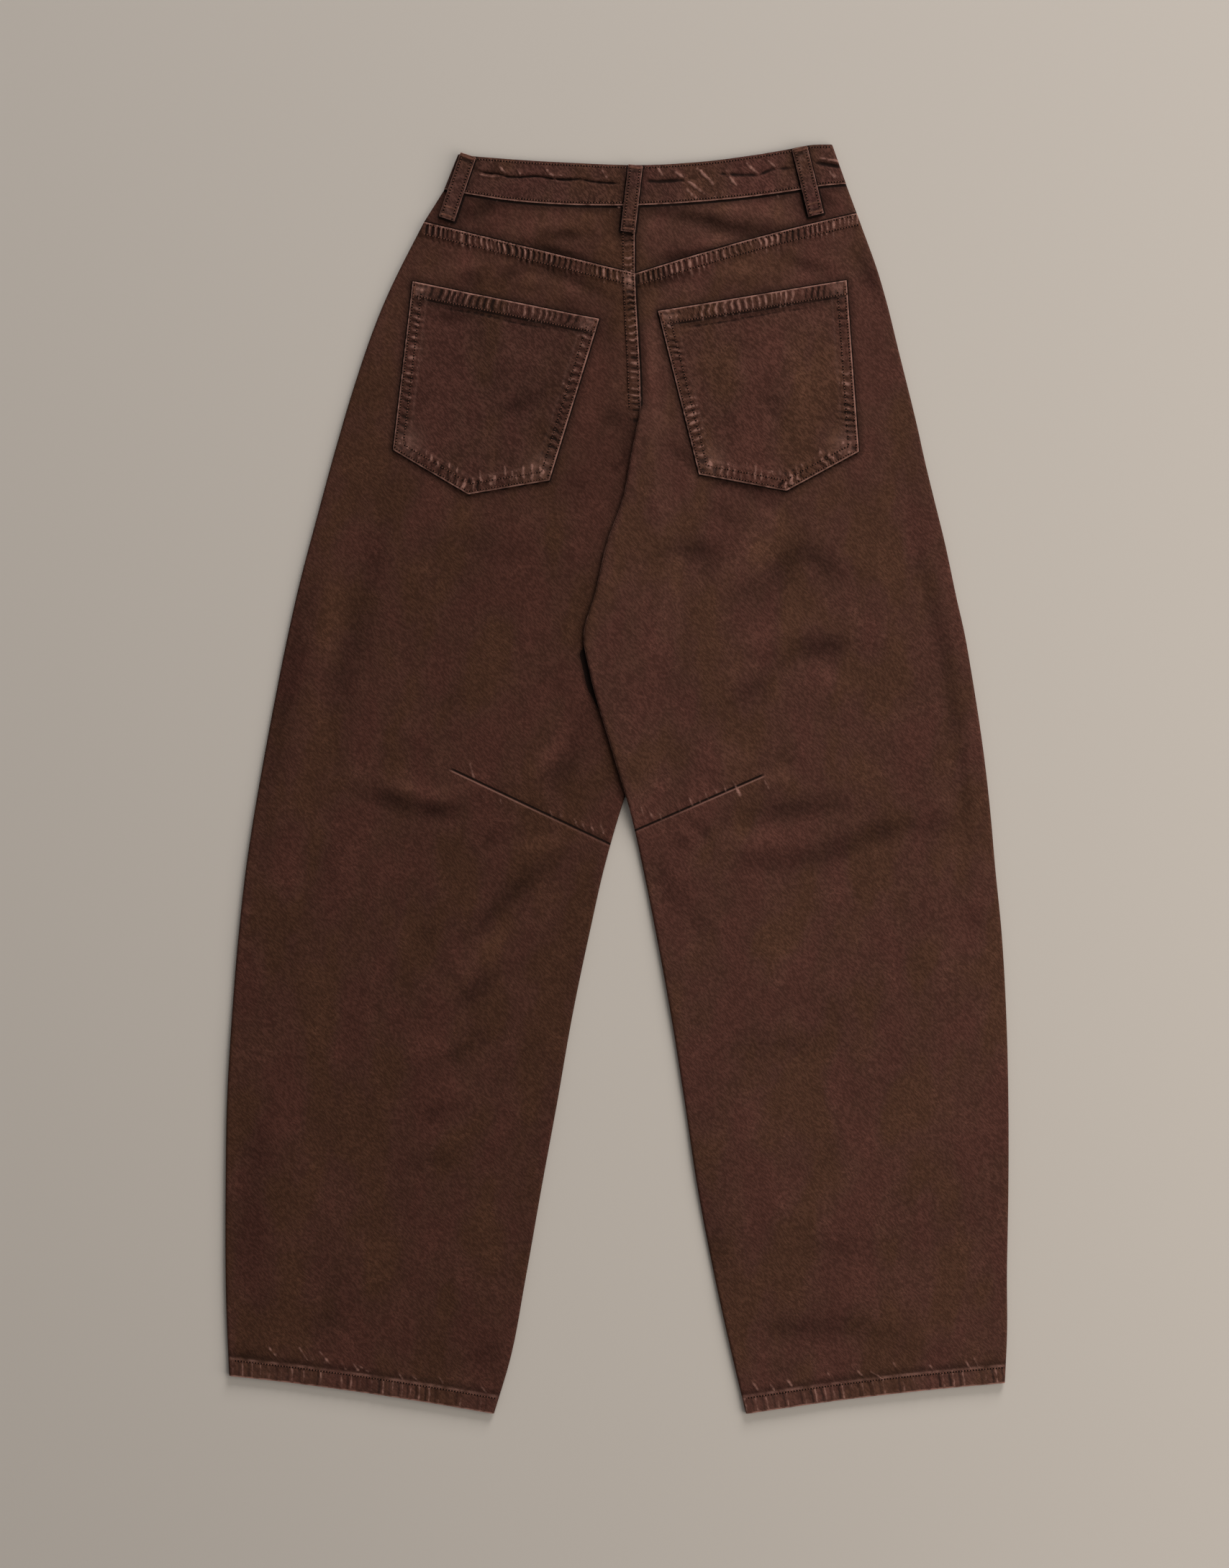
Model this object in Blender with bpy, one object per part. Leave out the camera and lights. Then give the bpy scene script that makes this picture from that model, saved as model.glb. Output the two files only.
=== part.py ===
"""Barrel leg trousers in washed denim, laid flat on their front with the back up.

Blender units are metres, +Z up. +Y runs from the hems to the waist and +X to the wearer's right.
The fronts lie on Z = 0, and the origin is on the floor under the middle of the whole garment.
Every size and table below is in millimetres, and MM turns it into metres when a mesh is made.
"""

import math

import bmesh
import bpy
import numpy as np

MM = 0.001

# The cloth
CLOTH = 1.2  # wall of one layer of denim
BAND_CLOTH = 2.2  # waistband, folded double
LOOP_CLOTH = 1.8  # belt loop, folded in three
SEAM_GAP = 0.3  # space between two pieces at a seam
HALF_GAP = SEAM_GAP / 2
FRONT_SEAM_GAP = 0.45  # the fronts' top edges turn in longer straight runs than the waistband
SEAM_RISE = 0.5  # a felled seam or a hem stands this much above one layer
FELL = 11.5  # width of a felled seam
RAMP = 1.2  # width of the step at a felled seam's edge

# How it lies
EDGE_RADIUS = 2.35  # outside radius where a leg turns over at its edge
BAND_RADIUS = 2.5  # the same for the waistband
LIE = 2 * EDGE_RADIUS  # height of the backs' upper face
BAND_LIE = 2 * BAND_RADIUS  # height of the waistband's upper face
LEG_LIFT = 5.1  # the right leg rises this far to lie over the left one
LIFT_RUN = 25.0  # and comes down again over this width
LIFT_TOP = 322.0  # y where the right leg starts to rise, just above the crotch
LIFT_FALL = 32.0  # it has risen fully this far below that
TURN_FALL = 37.0  # the cut edge at the crotch has turned into a folded one this far below it
FRONT_DROP = 12.0  # the front of the waist sits this much lower than the back
FRONT_TUCK_TOP = 317.0  # y where the left front's edge starts to draw in from the centre seam
FRONT_TUCK_FALL = 14.0  # it has drawn in fully this far below that
FRONT_SWING_FALL = 28.0  # the risen right front swings over the left leg within this much

# Each leg from its yoke seam to its hem: a row is one line across the leg, from the place on the
# inner edge (inner_y, inner_x) to the place on the outer edge (outer_x, outer_y). The first six
# rows share the centre back seam. The left leg's inner edge is out of sight under the right leg
# between y = 300 and y = -20.
LEFT_LEG = (
    # inner_y, inner_x, outer_x, outer_y
    (421.5, 15.0, -161.1, 464.7),
    (394.5, 16.2, -180.3, 427.5),
    (373.5, 17.4, -191.7, 403.5),
    (331.5, 19.6, -210.3, 355.5),
    (317.5, 20.6, -215.6, 339.5),
    (304.0, 21.1, -220.6, 324.0),
    (268.0, 24.3, -232.6, 283.5),
    (205.5, 31.5, -252.3, 211.5),
    (163.5, 33.9, -264.9, 163.5),
    (121.5, 33.3, -275.7, 115.5),
    (73.5, 28.5, -285.3, 67.5),
    (22.5, 19.5, -294.3, 19.5),
    (-25.5, 3.3, -302.7, -28.5),
    (-76.5, -11.1, -309.9, -76.5),
    (-124.5, -21.9, -315.3, -124.5),
    (-196.5, -36.9, -321.3, -196.5),
    (-268.5, -49.5, -325.5, -268.5),
    (-340.5, -62.7, -326.7, -340.5),
    (-415.5, -75.9, -326.7, -412.5),
    (-484.5, -89.1, -325.4, -462.0),
    (-529.5, -102.5, -323.7, -497.7),
)
RIGHT_LEG = (
    # inner_y, inner_x, outer_x, outer_y
    (421.5, 15.0, 200.1, 471.9),
    (394.5, 16.2, 216.3, 427.5),
    (373.5, 17.4, 223.5, 403.5),
    (331.5, 19.6, 235.5, 355.5),
    (317.5, 20.6, 240.6, 335.0),
    (304.0, 20.6, 245.5, 315.5),
    (289.0, 15.6, 250.4, 295.0),
    (266.0, 11.3, 256.8, 266.0),
    (237.0, 5.5, 263.8, 237.0),
    (195.9, -8.9, 273.9, 195.9),
    (154.5, -18.5, 283.2, 152.0),
    (119.1, -28.1, 290.6, 119.0),
    (90.3, -23.3, 295.6, 90.3),
    (21.9, -3.9, 306.3, 19.5),
    (-28.5, 11.1, 311.7, -28.5),
    (-76.5, 21.9, 315.9, -76.5),
    (-124.5, 31.5, 320.7, -124.5),
    (-196.5, 44.7, 324.9, -196.5),
    (-268.5, 56.1, 326.7, -268.5),
    (-340.5, 66.9, 326.7, -340.5),
    (-412.5, 80.7, 325.5, -412.5),
    (-484.5, 96.6, 325.5, -466.0),
    (-529.5, 107.4, 323.7, -503.7),
)

# The waistband along the back: where its lower and its upper edge run
WAISTBAND = (
    # lower_x, lower_y, upper_x, upper_y
    (-144.4, 491.4, -132.7, 520.9),
    (-120.0, 486.8, -112.0, 518.6),
    (-85.0, 481.7, -80.0, 516.2),
    (-40.0, 478.6, -36.0, 513.7),
    (14.8, 478.2, 16.0, 511.9),
    (62.0, 480.6, 62.0, 513.9),
    (105.0, 484.5, 103.0, 518.6),
    (145.0, 489.9, 138.0, 524.2),
    (170.0, 494.1, 162.0, 528.6),
    (191.3, 496.1, 179.6, 529.1),
)
CENTRE_PLACE = 4.0  # the waistband's row number at the centre back
WAIST_CREASE = ((-119.3, 507.0), (-82.5, 501.9), (-66.9, 502.5), (-31.5, 500.1), (3.7, 495.9))
CREASE_DEPTH = 0.6
CREASE_HALF_WIDTH = 2.6

YOKE_SEAM_BOW = 2.4  # how far the right yoke seam bows up of a straight line
HEM_BOW = 2.2  # the same for both hems
SEAM_BOW_RUN = 40.0  # the seam's bow fades out this far below it
HEM_BOW_RUN = 60.0  # and the hem's bow this far above it
HEM_TOP = -514.6  # inner_y of the top of the turned hems

# Soft folds in the laid cloth, each a low ridge or a trough along a line
LEFT_FOLDS = (
    # x1, y1, x2, y2, half_width, height
    (-72.0, 2.0, -28.0, 110.0, 26.0, 0.9),
    (-14.0, -70.0, -178.0, -30.0, 20.0, 0.9),
    (-52.0, -92.0, -130.0, -158.0, 24.0, 0.8),
    (-40.0, -150.0, -96.0, -238.0, 26.0, -0.7),
    (-130.0, -158.0, -196.0, -262.0, 30.0, 0.6),
    (-190.0, 40.0, -240.0, 150.0, 34.0, -0.7),
    (-150.0, 140.0, -60.0, 200.0, 28.0, 0.7),
    (-280.0, -60.0, -292.0, -300.0, 22.0, -0.6),
    (-110.0, -300.0, -240.0, -352.0, 34.0, 0.6),
    (-130.0, -430.0, -270.0, -410.0, 28.0, -0.6),
)
RIGHT_FOLDS = (
    # x1, y1, x2, y2, half_width, height
    (40.0, 175.0, 190.0, 205.0, 26.0, 0.8),
    (70.0, 70.0, 250.0, 92.0, 22.0, 0.9),
    (60.0, 118.0, 220.0, 140.0, 18.0, -0.7),
    (130.0, 0.0, 280.0, -20.0, 20.0, 0.8),
    (40.0, -70.0, 190.0, -44.0, 22.0, 0.7),
    (80.0, -120.0, 240.0, -82.0, 20.0, -0.7),
    (110.0, -200.0, 270.0, -170.0, 28.0, 0.6),
    (290.0, -60.0, 300.0, -300.0, 22.0, -0.6),
    (120.0, -330.0, 260.0, -300.0, 34.0, 0.6),
    (130.0, -410.0, 280.0, -430.0, 28.0, -0.6),
)
FOLDS_TOP = 232.0  # no fold reaches above this y, so the seat is flat under the pockets
FOLDS_FADE = 40.0

# Patch pockets, five corners each, clockwise from the top left
POCKET_LEFT = ((-170.2, 414.6), (-14.9, 383.3), (-56.3, 248.8), (-124.0, 237.2), (-186.8, 274.3))
POCKET_RIGHT = ((34.2, 389.9), (191.3, 415.7), (201.5, 272.8), (141.1, 240.1), (68.4, 253.9))
TURNED_EDGE = 11.0  # width of the pocket's turned edge

# Belt loops: the middle of the top end, the middle of the lower end, and the width
LOOPS = {
    "belt_loop_left": ((-123.9, 519.9), (-142.0, 466.7), 13.5),
    "belt_loop_centre": ((15.4, 511.4), (9.0, 456.0), 12.0),
    "belt_loop_right": ((152.0, 526.0), (165.8, 470.0), 13.0),
}
LOOP_ARCH = 0.7  # the middle of a loop stands this much higher than its ends
LOOP_STEPS = 6

# Knee darts: from the end in the middle of the leg to the end at the inseam
DART_LEFT = ((-140.7, 9.7), (-10.5, -52.0))
DART_RIGHT = ((123.9, 4.5), (20.5, -40.5))
DART_DEPTH = 0.55
DART_WIDTH = 1.8
DART_TIP_SHARE = 0.35  # its width at the tip, as a share of the width at the inseam
DART_STEPS = 8

# The hidden fly piece and the waist button
FLY_WIDTH = 44.0
FLY_BOTTOM = 322.0
FLY_ROUND = 31.0  # radius of its lower corner
FLY_ROUND_STEPS = 6
FLY_BELOW_BAND = 4.0  # its top edge lies this far below the waistband's lower edge
BUTTON_RADIUS = 8.5
BUTTON_DEPTH = 1.3
BUTTON_FROM_CENTRE = 15.0

# Rows down the legs, by their inner_y, the same for backs and fronts so that their edges agree.
# They close up at the crotch, where the right leg rises.
BACK_ROWS = (
    392, 366, 345, 331, 322, 315, 309, 303, 296, 288, 278, 264, 246, 224, 200, 174, 148, 128, 113,
    96, 72, 46, 20, -6, -30, -54, -82, -116, -160, -212, -264, -316, -368, -420, -466,
)  # fmt: skip
BACK_ACROSS = 9
BACK_AFTER_RAMP = 6
FRONT_ACROSS = 5
FRONT_AFTER_RAMP = 3
YOKE_ACROSS = 8
BAND_ACROSS = 22
BAND_ROWS = (1.0, 0.82, 0.68, 0.6, 0.52, 0.44, 0.2, 0.0)  # shares of its height, close at the crease
YOKE_ROWS = 5
EDGE_STEPS = 4  # faces round a folded edge
# The right leg's columns close up where it comes down beside the left leg's edge: the first one
# lies this far past that edge, or at least so far from its own, and the next two these much on.
RAMP_CLEAR = 1.5
RAMP_LEAST = 5.0
RAMP_STEPS = (10.0, 22.0)


def smoothstep(value):
    """0 below 0, 1 above 1, and a soft ramp between."""
    value = np.clip(value, 0.0, 1.0)
    return value * value * (3.0 - 2.0 * value)


def curve(table, column, at):
    """Read one column of a table on a smooth curve, at a place along the first column."""
    rows = np.array(sorted(table))
    knots, values = rows[:, 0], rows[:, column]
    slopes = np.gradient(values, knots)
    at = np.clip(at, knots[0], knots[-1])
    left = np.clip(np.searchsorted(knots, at) - 1, 0, len(knots) - 2)
    span = knots[left + 1] - knots[left]
    u = (at - knots[left]) / span
    return (
        (1 + 2 * u) * (1 - u) ** 2 * values[left]
        + u * (1 - u) ** 2 * span * slopes[left]
        + u * u * (3 - 2 * u) * values[left + 1]
        + u * u * (u - 1) * span * slopes[left + 1]
    )


def centre_x(y):
    """The left leg's inner edge, which is the centre seam above the crotch."""
    return curve(LEFT_LEG, 1, y)


def fold_x(y):
    """The right leg's inner edge, which leaves the centre seam at the crotch and folds over."""
    return curve(RIGHT_LEG, 1, y)


def edge_turn(y):
    """How far an inner edge has turned over: 0 where it is cut for the centre seam, then pi."""
    return math.pi * smoothstep((LIFT_TOP - y) / TURN_FALL)


def lift(x, y):
    """How far the right leg stands off the floor to lie over the left one."""
    rise = smoothstep((LIFT_TOP - y) / LIFT_FALL)
    return LEG_LIFT * rise * smoothstep((centre_x(y) + LIFT_RUN - x) / LIFT_RUN)


def folds(table, x, y):
    """Height of the soft folds at a place."""
    height = np.zeros(np.shape(x))
    for x1, y1, x2, y2, half_width, peak in table:
        along = ((x - x1) * (x2 - x1) + (y - y1) * (y2 - y1)) / ((x2 - x1) ** 2 + (y2 - y1) ** 2)
        along = np.clip(along, 0.0, 1.0)
        away = np.hypot(x - x1 - along * (x2 - x1), y - y1 - along * (y2 - y1))
        height += peak * np.exp(-((away / half_width) ** 2))
    return height * smoothstep((FOLDS_TOP - y) / FOLDS_FADE)


def left_folds(x, y):
    """Soft folds of the left back. It lies flat where the right leg crosses it."""
    return smoothstep((fold_x(y) - x) / LIFT_RUN) * folds(LEFT_FOLDS, x, y)


def right_folds(x, y):
    """Soft folds of the right back."""
    return folds(RIGHT_FOLDS, x, y)


def left_back_height(x, y):
    """Upper face of the left back without its folds."""
    return LIE


def right_back_height(x, y):
    """Upper face of the right back without its folds."""
    return LIE + lift(x, y)


def no_folds(x, y):
    """Cloth that lies even."""
    return 0.0


def line_across(start, end, bow=0.0, count=25):
    """A line across a panel from start to end, bowed up in its middle."""
    u = np.linspace(0.0, 1.0, count)[:, None]
    points = (1 - u) * np.array(start) + u * np.array(end)
    points[:, 1] += bow * (4 * u * (1 - u))[:, 0]
    return points


def shifted(line, distance):
    """The same line moved along Y."""
    return line + np.array((0.0, distance))


def place_on(line, distance):
    """The place at a distance along a line, and the line's direction there."""
    steps = np.hypot(*np.diff(line, axis=0).T)
    run = np.concatenate(([0.0], np.cumsum(steps)))
    part = np.clip(np.searchsorted(run, distance) - 1, 0, len(steps) - 1)
    direction = (line[part + 1] - line[part]) / steps[part]
    return line[part] + direction * (distance - run[part]), direction, run[-1]


def edge_places(from_edge, turn, radius):
    """Where points at some distances from a panel's edge lie, once the edge has turned over.

    Gives for each its distance from the outline in plan, its drop below the upper face, and
    the angle that the cloth has turned there.
    """
    reach = radius * math.sin(min(turn, math.pi / 2))
    places = []
    for distance in from_edge:
        angle = max(turn - distance / radius, 0.0)
        flat = max(distance - radius * turn, 0.0)
        inward = reach - radius * math.sin(angle) + flat
        places.append((inward, radius * (1 - math.cos(angle)), angle))
    return places


def even_columns(count):
    """Columns at even spaces between a panel's two edges."""

    def spread(line, first, last):
        return [first + (last - first) * i / (count + 1) for i in range(1, count + 1)]

    return spread


def ramp_columns(count):
    """Columns of the right leg, close together where it comes down beside the left one."""

    def spread(line, first, last):
        x, y = line[0]
        ramp = max(float(centre_x(y)) + RAMP_CLEAR - x, first + RAMP_LEAST)
        near = [(first + ramp) / 2, ramp] + [ramp + step for step in RAMP_STEPS]
        return near + even_columns(count)(line, near[-1], last)

    return spread


def laid_sheet(lines, start_columns, end_columns, spread, turns, height, relief, wall, radius):
    """Points of a laid panel: its upper face and, a wall further in, its inner face.

    lines are its rows, from the waist down, each from left to right. start_columns and
    end_columns are distances from its left and right edges, and spread places the columns
    between. turns gives each row's turn at its left and its right edge. relief is
    added to height, and fades out round a turned edge. The third result says how far each
    point faces up: 1 on the flat cloth, and 0 where a turned edge ends on the floor.
    """
    upper, inner, facing = [], [], []
    for line, (turn_left, turn_right) in zip(lines, turns):
        width = place_on(line, 0.0)[2]
        left = edge_places(start_columns, turn_left, radius)
        right = edge_places(end_columns, turn_right, radius)
        first, last = left[-1][0], width - right[-1][0]
        middle = [(along, 0.0, 0.0) for along in spread(line, first, last)]
        columns = left + middle + [(width - inward, drop, -turn) for inward, drop, turn in right[::-1]]
        upper_row, inner_row = [], []
        facing.append([1 - drop / (2 * radius) for _, drop, _ in columns])
        for (along, drop, turn), up in zip(columns, facing[-1]):
            place, direction, _ = place_on(line, along)
            top = float(height(*place)) + up * float(relief(*place)) - drop
            upper_row.append((*place, top))
            place_in = place + direction * wall * math.sin(turn)
            inner_row.append((*place_in, top - wall * math.cos(turn)))
        upper.append(upper_row)
        inner.append(inner_row)
    return np.array(upper), np.array(inner), np.array(facing)


def linear(channel):
    """A colour channel of 0 to 255, as seen, in linear light."""
    value = channel / 255
    return value / 12.92 if value <= 0.04045 else ((value + 0.055) / 1.055) ** 2.4


def finish(name, red, green, blue, roughness, metallic=0.0):
    """A plain material from a colour as seen in daylight."""
    material = bpy.data.materials.new(name)
    material.use_nodes = True
    shader = material.node_tree.nodes["Principled BSDF"]
    shader.inputs["Base Color"].default_value = (linear(red), linear(green), linear(blue), 1.0)
    shader.inputs["Roughness"].default_value = roughness
    shader.inputs["Metallic"].default_value = metallic
    return material


def add_piece(name, points, faces, material):
    """One named object from points in millimetres, its faces turned outwards."""
    mesh = bpy.data.meshes.new(name)
    mesh.from_pydata([tuple(float(c) * MM for c in p) for p in points], [], faces)
    work = bmesh.new()
    work.from_mesh(mesh)
    bmesh.ops.recalc_face_normals(work, faces=work.faces)
    work.to_mesh(mesh)
    work.free()
    mesh.shade_smooth()
    mesh.set_sharp_from_angle(angle=math.radians(40))
    piece = bpy.data.objects.new(name, mesh)
    piece.data.materials.append(material)
    bpy.context.collection.objects.link(piece)
    return piece


def add_sheet(name, upper, inner, material):
    """A closed piece of cloth from its two faces, with a rim all round."""
    rows, columns = upper.shape[:2]
    count = rows * columns
    number = np.arange(count).reshape(rows, columns).tolist()
    faces = []
    for r in range(rows - 1):
        for c in range(columns - 1):
            quad = (number[r][c], number[r + 1][c], number[r + 1][c + 1], number[r][c + 1])
            faces.append(quad)
            faces.append(tuple(i + count for i in reversed(quad)))
    rim = number[0] + [row[-1] for row in number[1:]]
    rim += number[-1][-2::-1] + [row[0] for row in number[-2:0:-1]]
    for a, b in zip(rim, rim[1:] + rim[:1]):
        faces.append((a, b, b + count, a + count))
    points = np.concatenate((upper.reshape(-1, 3), inner.reshape(-1, 3)))
    return add_piece(name, points, faces, material)


def add_prism(name, outline, bottom, top, material):
    """A flat piece of one thickness from its outline in plan."""
    count = len(outline)
    points = [(x, y, bottom) for x, y in outline] + [(x, y, top) for x, y in outline]
    faces = [tuple(range(count)), tuple(range(count, 2 * count))]
    for i in range(count):
        j = (i + 1) % count
        faces.append((i, j, j + count, i + count))
    return add_piece(name, points, faces, material)


def hide_cutter(cutter):
    """Mark an object that only cuts another."""
    cutter.hide_render = True
    cutter.display_type = "WIRE"


def cut(piece, cutter):
    """Take the cutter's shape out of a piece."""
    hide_cutter(cutter)
    modifier = piece.modifiers.new("cut_" + cutter.name, "BOOLEAN")
    modifier.operation = "DIFFERENCE"
    modifier.solver = "EXACT"
    modifier.object = cutter


def row_points(table, y_outer, y_inner, outer_gap, inner_x):
    """The two ends of a row: its outer point, pulled in along the row, and its inner point."""
    outer = np.array((curve(table, 2, y_outer), curve(table, 3, y_outer)))
    inner = np.array((inner_x, y_inner))
    pull = (inner - outer) / np.linalg.norm(inner - outer)
    return outer + pull * outer_gap, inner


def band_place(table, column_x, column_y, distance):
    """inner_y of the row whose edge point lies a distance below the top, along that edge."""
    top = table[0][0]
    places = np.linspace(top, top - 2 * distance, 41)
    xs, ys = curve(table, column_x, places), curve(table, column_y, places)
    run = np.concatenate(([0.0], np.cumsum(np.hypot(np.diff(xs), np.diff(ys)))))
    return float(np.interp(distance, run, places))


def back_leg_rows(table):
    """The rows of a back leg as pairs of places on the outer and inner edge, with their rise."""
    rows = [(table[0][0], table[0][0], SEAM_RISE)]
    for distance, rise in ((FELL, SEAM_RISE), (FELL + RAMP, 0.0)):
        rows.append((band_place(table, 2, 3, distance), table[0][0] - distance, rise))
    rows += [(y, y, 0.0) for y in BACK_ROWS]
    rows += [(HEM_TOP + RAMP, HEM_TOP + RAMP, 0.0), (HEM_TOP, HEM_TOP, SEAM_RISE)]
    rows.append((table[-1][0], table[-1][0], SEAM_RISE))
    return rows


def hem_bow(y, bottom):
    """How far a row near the hem bows up."""
    return HEM_BOW * float(smoothstep((bottom + HEM_BOW_RUN - y) / HEM_BOW_RUN))


def add_back_leg(name, table, is_left, height, relief, seam_bow, material):
    """One back leg panel, turned over at its outer edge, and below the crotch at its inner edge."""
    lines, turns, rises = [], [], []
    bottom = table[-1][0]
    for y_outer, y_inner, rise in back_leg_rows(table):
        x_inner = centre_x(y_inner) - HALF_GAP if is_left else fold_x(y_inner) + HALF_GAP
        outer, inner = row_points(table, y_outer, y_inner, 0.0, x_inner)
        near_seam = smoothstep((y_inner - (table[0][0] - SEAM_BOW_RUN)) / SEAM_BOW_RUN)
        bow = seam_bow * near_seam + hem_bow(y_inner, bottom)
        line = line_across(outer, inner, bow) if is_left else line_across(inner, outer, bow)
        if y_inner == table[0][0]:
            line = shifted(line, -HALF_GAP)
        inner_turn = float(edge_turn(y_inner))
        lines.append(line)
        turns.append((math.pi, inner_turn) if is_left else (inner_turn, math.pi))
        rises.append(rise)
    folded = math.pi * EDGE_RADIUS
    edge = [folded * i / EDGE_STEPS for i in range(EDGE_STEPS + 1)]
    seam_side = edge + [FELL, FELL + RAMP] if is_left else edge
    spread = even_columns(BACK_ACROSS) if is_left else ramp_columns(BACK_AFTER_RAMP)
    columns = (edge, seam_side) if is_left else (seam_side, edge)
    upper, inner, facing = laid_sheet(
        lines, *columns, spread, turns, height, relief, CLOTH, EDGE_RADIUS
    )
    rise = np.tile(np.array(rises)[:, None], (1, upper.shape[1]))
    if is_left:
        centre_seam = [SEAM_RISE * float(smoothstep((line[-1][1] - LIFT_TOP) / FELL)) for line in lines]
        felled = len(seam_side) - 1
        rise[:, -felled:] = np.maximum(rise[:, -felled:], np.array(centre_seam)[:, None])
    upper[:, :, 2] += rise * facing
    return add_sheet(name, upper, inner, material)


def left_front_inner(y):
    """Inner edge of the left front: at the centre seam, then clear of the back's turned edge."""
    tuck = smoothstep((FRONT_TUCK_TOP - y) / FRONT_TUCK_FALL)
    return centre_x(y) - HALF_GAP - tuck * (EDGE_RADIUS + HALF_GAP)


def right_front_inner(y):
    """Inner edge of the right front: beside the left leg until it has risen, then over it."""
    beside = centre_x(y) + HALF_GAP + (SEAM_GAP if y <= LIFT_TOP else 0.0)
    over = fold_x(y) + EDGE_RADIUS + SEAM_GAP
    swing = smoothstep((LIFT_TOP - LIFT_FALL - y) / FRONT_SWING_FALL)
    return (1 - swing) * beside + swing * over


def add_front_leg(name, table, is_left, top_line, material):
    """One front leg panel, flat on the floor but for the lift where the legs cross."""
    outer_gap = EDGE_RADIUS + SEAM_GAP
    lines = [shifted(top_line, -FRONT_SEAM_GAP)]
    bottom = table[-1][0]
    for y_outer, y_inner, _ in back_leg_rows(table):
        x_inner = left_front_inner(y_inner) if is_left else right_front_inner(y_inner)
        outer, inner = row_points(table, y_outer, y_inner, outer_gap, x_inner)
        bow = hem_bow(y_inner, bottom)
        lines.append(line_across(outer, inner, bow) if is_left else line_across(inner, outer, bow))

    def floor_side(x, y):
        return CLOTH + (0.0 if is_left else lift(x, y))

    turns = [(0.0, 0.0)] * len(lines)
    spread = even_columns(FRONT_ACROSS) if is_left else ramp_columns(FRONT_AFTER_RAMP)
    upper, inner, _ = laid_sheet(
        lines, [0.0], [0.0], spread, turns, floor_side, no_folds, CLOTH, EDGE_RADIUS
    )
    return add_sheet(name, upper, inner, material)


def waist_point(place, share, drop=0.0):
    """A point of the waistband: place runs along it, share from its lower to its upper edge."""
    table = [(float(i), *row) for i, row in enumerate(WAISTBAND)]
    low = np.array((curve(table, 1, place), curve(table, 2, place)))
    high = np.array((curve(table, 3, place), curve(table, 4, place)))
    last = len(WAISTBAND) - 1
    sag = 1 - ((place - last / 2) / (last / 2)) ** 2
    return low + share * (high - low) - np.array((0.0, drop * sag))


def waist_line(share, first=0.0, last=None, drop=0.0, count=41):
    """A line along the waistband at one share of its height."""
    last = len(WAISTBAND) - 1 if last is None else last
    return np.array([waist_point(place, share, drop) for place in np.linspace(first, last, count)])


def trimmed(line, at_start, at_end):
    """A line with some length taken off its ends."""
    length = place_on(line, 0.0)[2]
    return np.array([place_on(line, d)[0] for d in np.linspace(at_start, length - at_end, len(line))])


def waist_crease(x, y):
    """The crease along the top of the waistband, as a shallow trough."""
    away = np.inf
    for (x1, y1), (x2, y2) in zip(WAIST_CREASE, WAIST_CREASE[1:]):
        along = ((x - x1) * (x2 - x1) + (y - y1) * (y2 - y1)) / ((x2 - x1) ** 2 + (y2 - y1) ** 2)
        along = min(max(along, 0.0), 1.0)
        away = min(away, math.hypot(x - x1 - along * (x2 - x1), y - y1 - along * (y2 - y1)))
    return -CREASE_DEPTH * math.exp(-((away / CREASE_HALF_WIDTH) ** 2))


def add_waistband_back(material):
    """The back run of the waistband, turned over at both sides."""
    lines = [waist_line(share) for share in BAND_ROWS]
    lines[-1] = shifted(lines[-1], HALF_GAP)
    folded = math.pi * BAND_RADIUS
    edge = [folded * i / EDGE_STEPS for i in range(EDGE_STEPS + 1)]
    turns = [(math.pi, math.pi)] * len(lines)

    def top(x, y):
        return BAND_LIE

    upper, inner, _ = laid_sheet(
        lines, edge, edge, even_columns(BAND_ACROSS), turns, top, waist_crease, BAND_CLOTH, BAND_RADIUS
    )
    return add_sheet("waistband_back", upper, inner, material)


def add_waistband_front(name, first, last, material):
    """One front run of the waistband, flat on the floor, from the side to the centre."""
    side = BAND_RADIUS + SEAM_GAP
    ends = (side, HALF_GAP) if first == 0.0 else (HALF_GAP, side)
    lines = [trimmed(waist_line(share, first, last, FRONT_DROP, 21), *ends) for share in (1.0, 0.5, 0.0)]
    lines[-1] = shifted(lines[-1], HALF_GAP)
    turns = [(0.0, 0.0)] * len(lines)

    def top(x, y):
        return BAND_CLOTH

    spread = even_columns(YOKE_ACROSS)
    upper, inner, _ = laid_sheet(
        lines, [0.0], [0.0], spread, turns, top, no_folds, BAND_CLOTH, BAND_RADIUS
    )
    return add_sheet(name, upper, inner, material)


def add_yoke(name, table, is_left, waist_low, seam_bow, material):
    """One half of the yoke, between the waistband and the V seam, turned over at the side."""
    outer, inner = row_points(table, table[0][0], table[0][0], 0.0, centre_x(table[0][0]))
    seam = line_across(outer, inner, seam_bow) if is_left else line_across(inner, outer, seam_bow)
    top, seam = shifted(waist_low, -HALF_GAP), shifted(seam, HALF_GAP)
    ends = (0.0, HALF_GAP) if is_left else (HALF_GAP, 0.0)
    top, seam = trimmed(top, *ends), trimmed(seam, *ends)
    lines = [(1 - share) * top + share * seam for share in np.linspace(0.0, 1.0, YOKE_ROWS)]
    folded = math.pi * EDGE_RADIUS
    edge = [folded * i / EDGE_STEPS for i in range(EDGE_STEPS + 1)]
    cut_edge = [0.0, FELL, FELL + RAMP] if is_left else [0.0]
    columns = (edge, cut_edge) if is_left else (cut_edge, edge)
    turns = [(math.pi, 0.0) if is_left else (0.0, math.pi)] * len(lines)
    spread = even_columns(YOKE_ACROSS)
    upper, inner, _ = laid_sheet(
        lines, *columns, spread, turns, left_back_height, no_folds, CLOTH, EDGE_RADIUS
    )
    if is_left:
        upper[:, -2:, 2] += SEAM_RISE
    return add_sheet(name, upper, inner, material)


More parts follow.
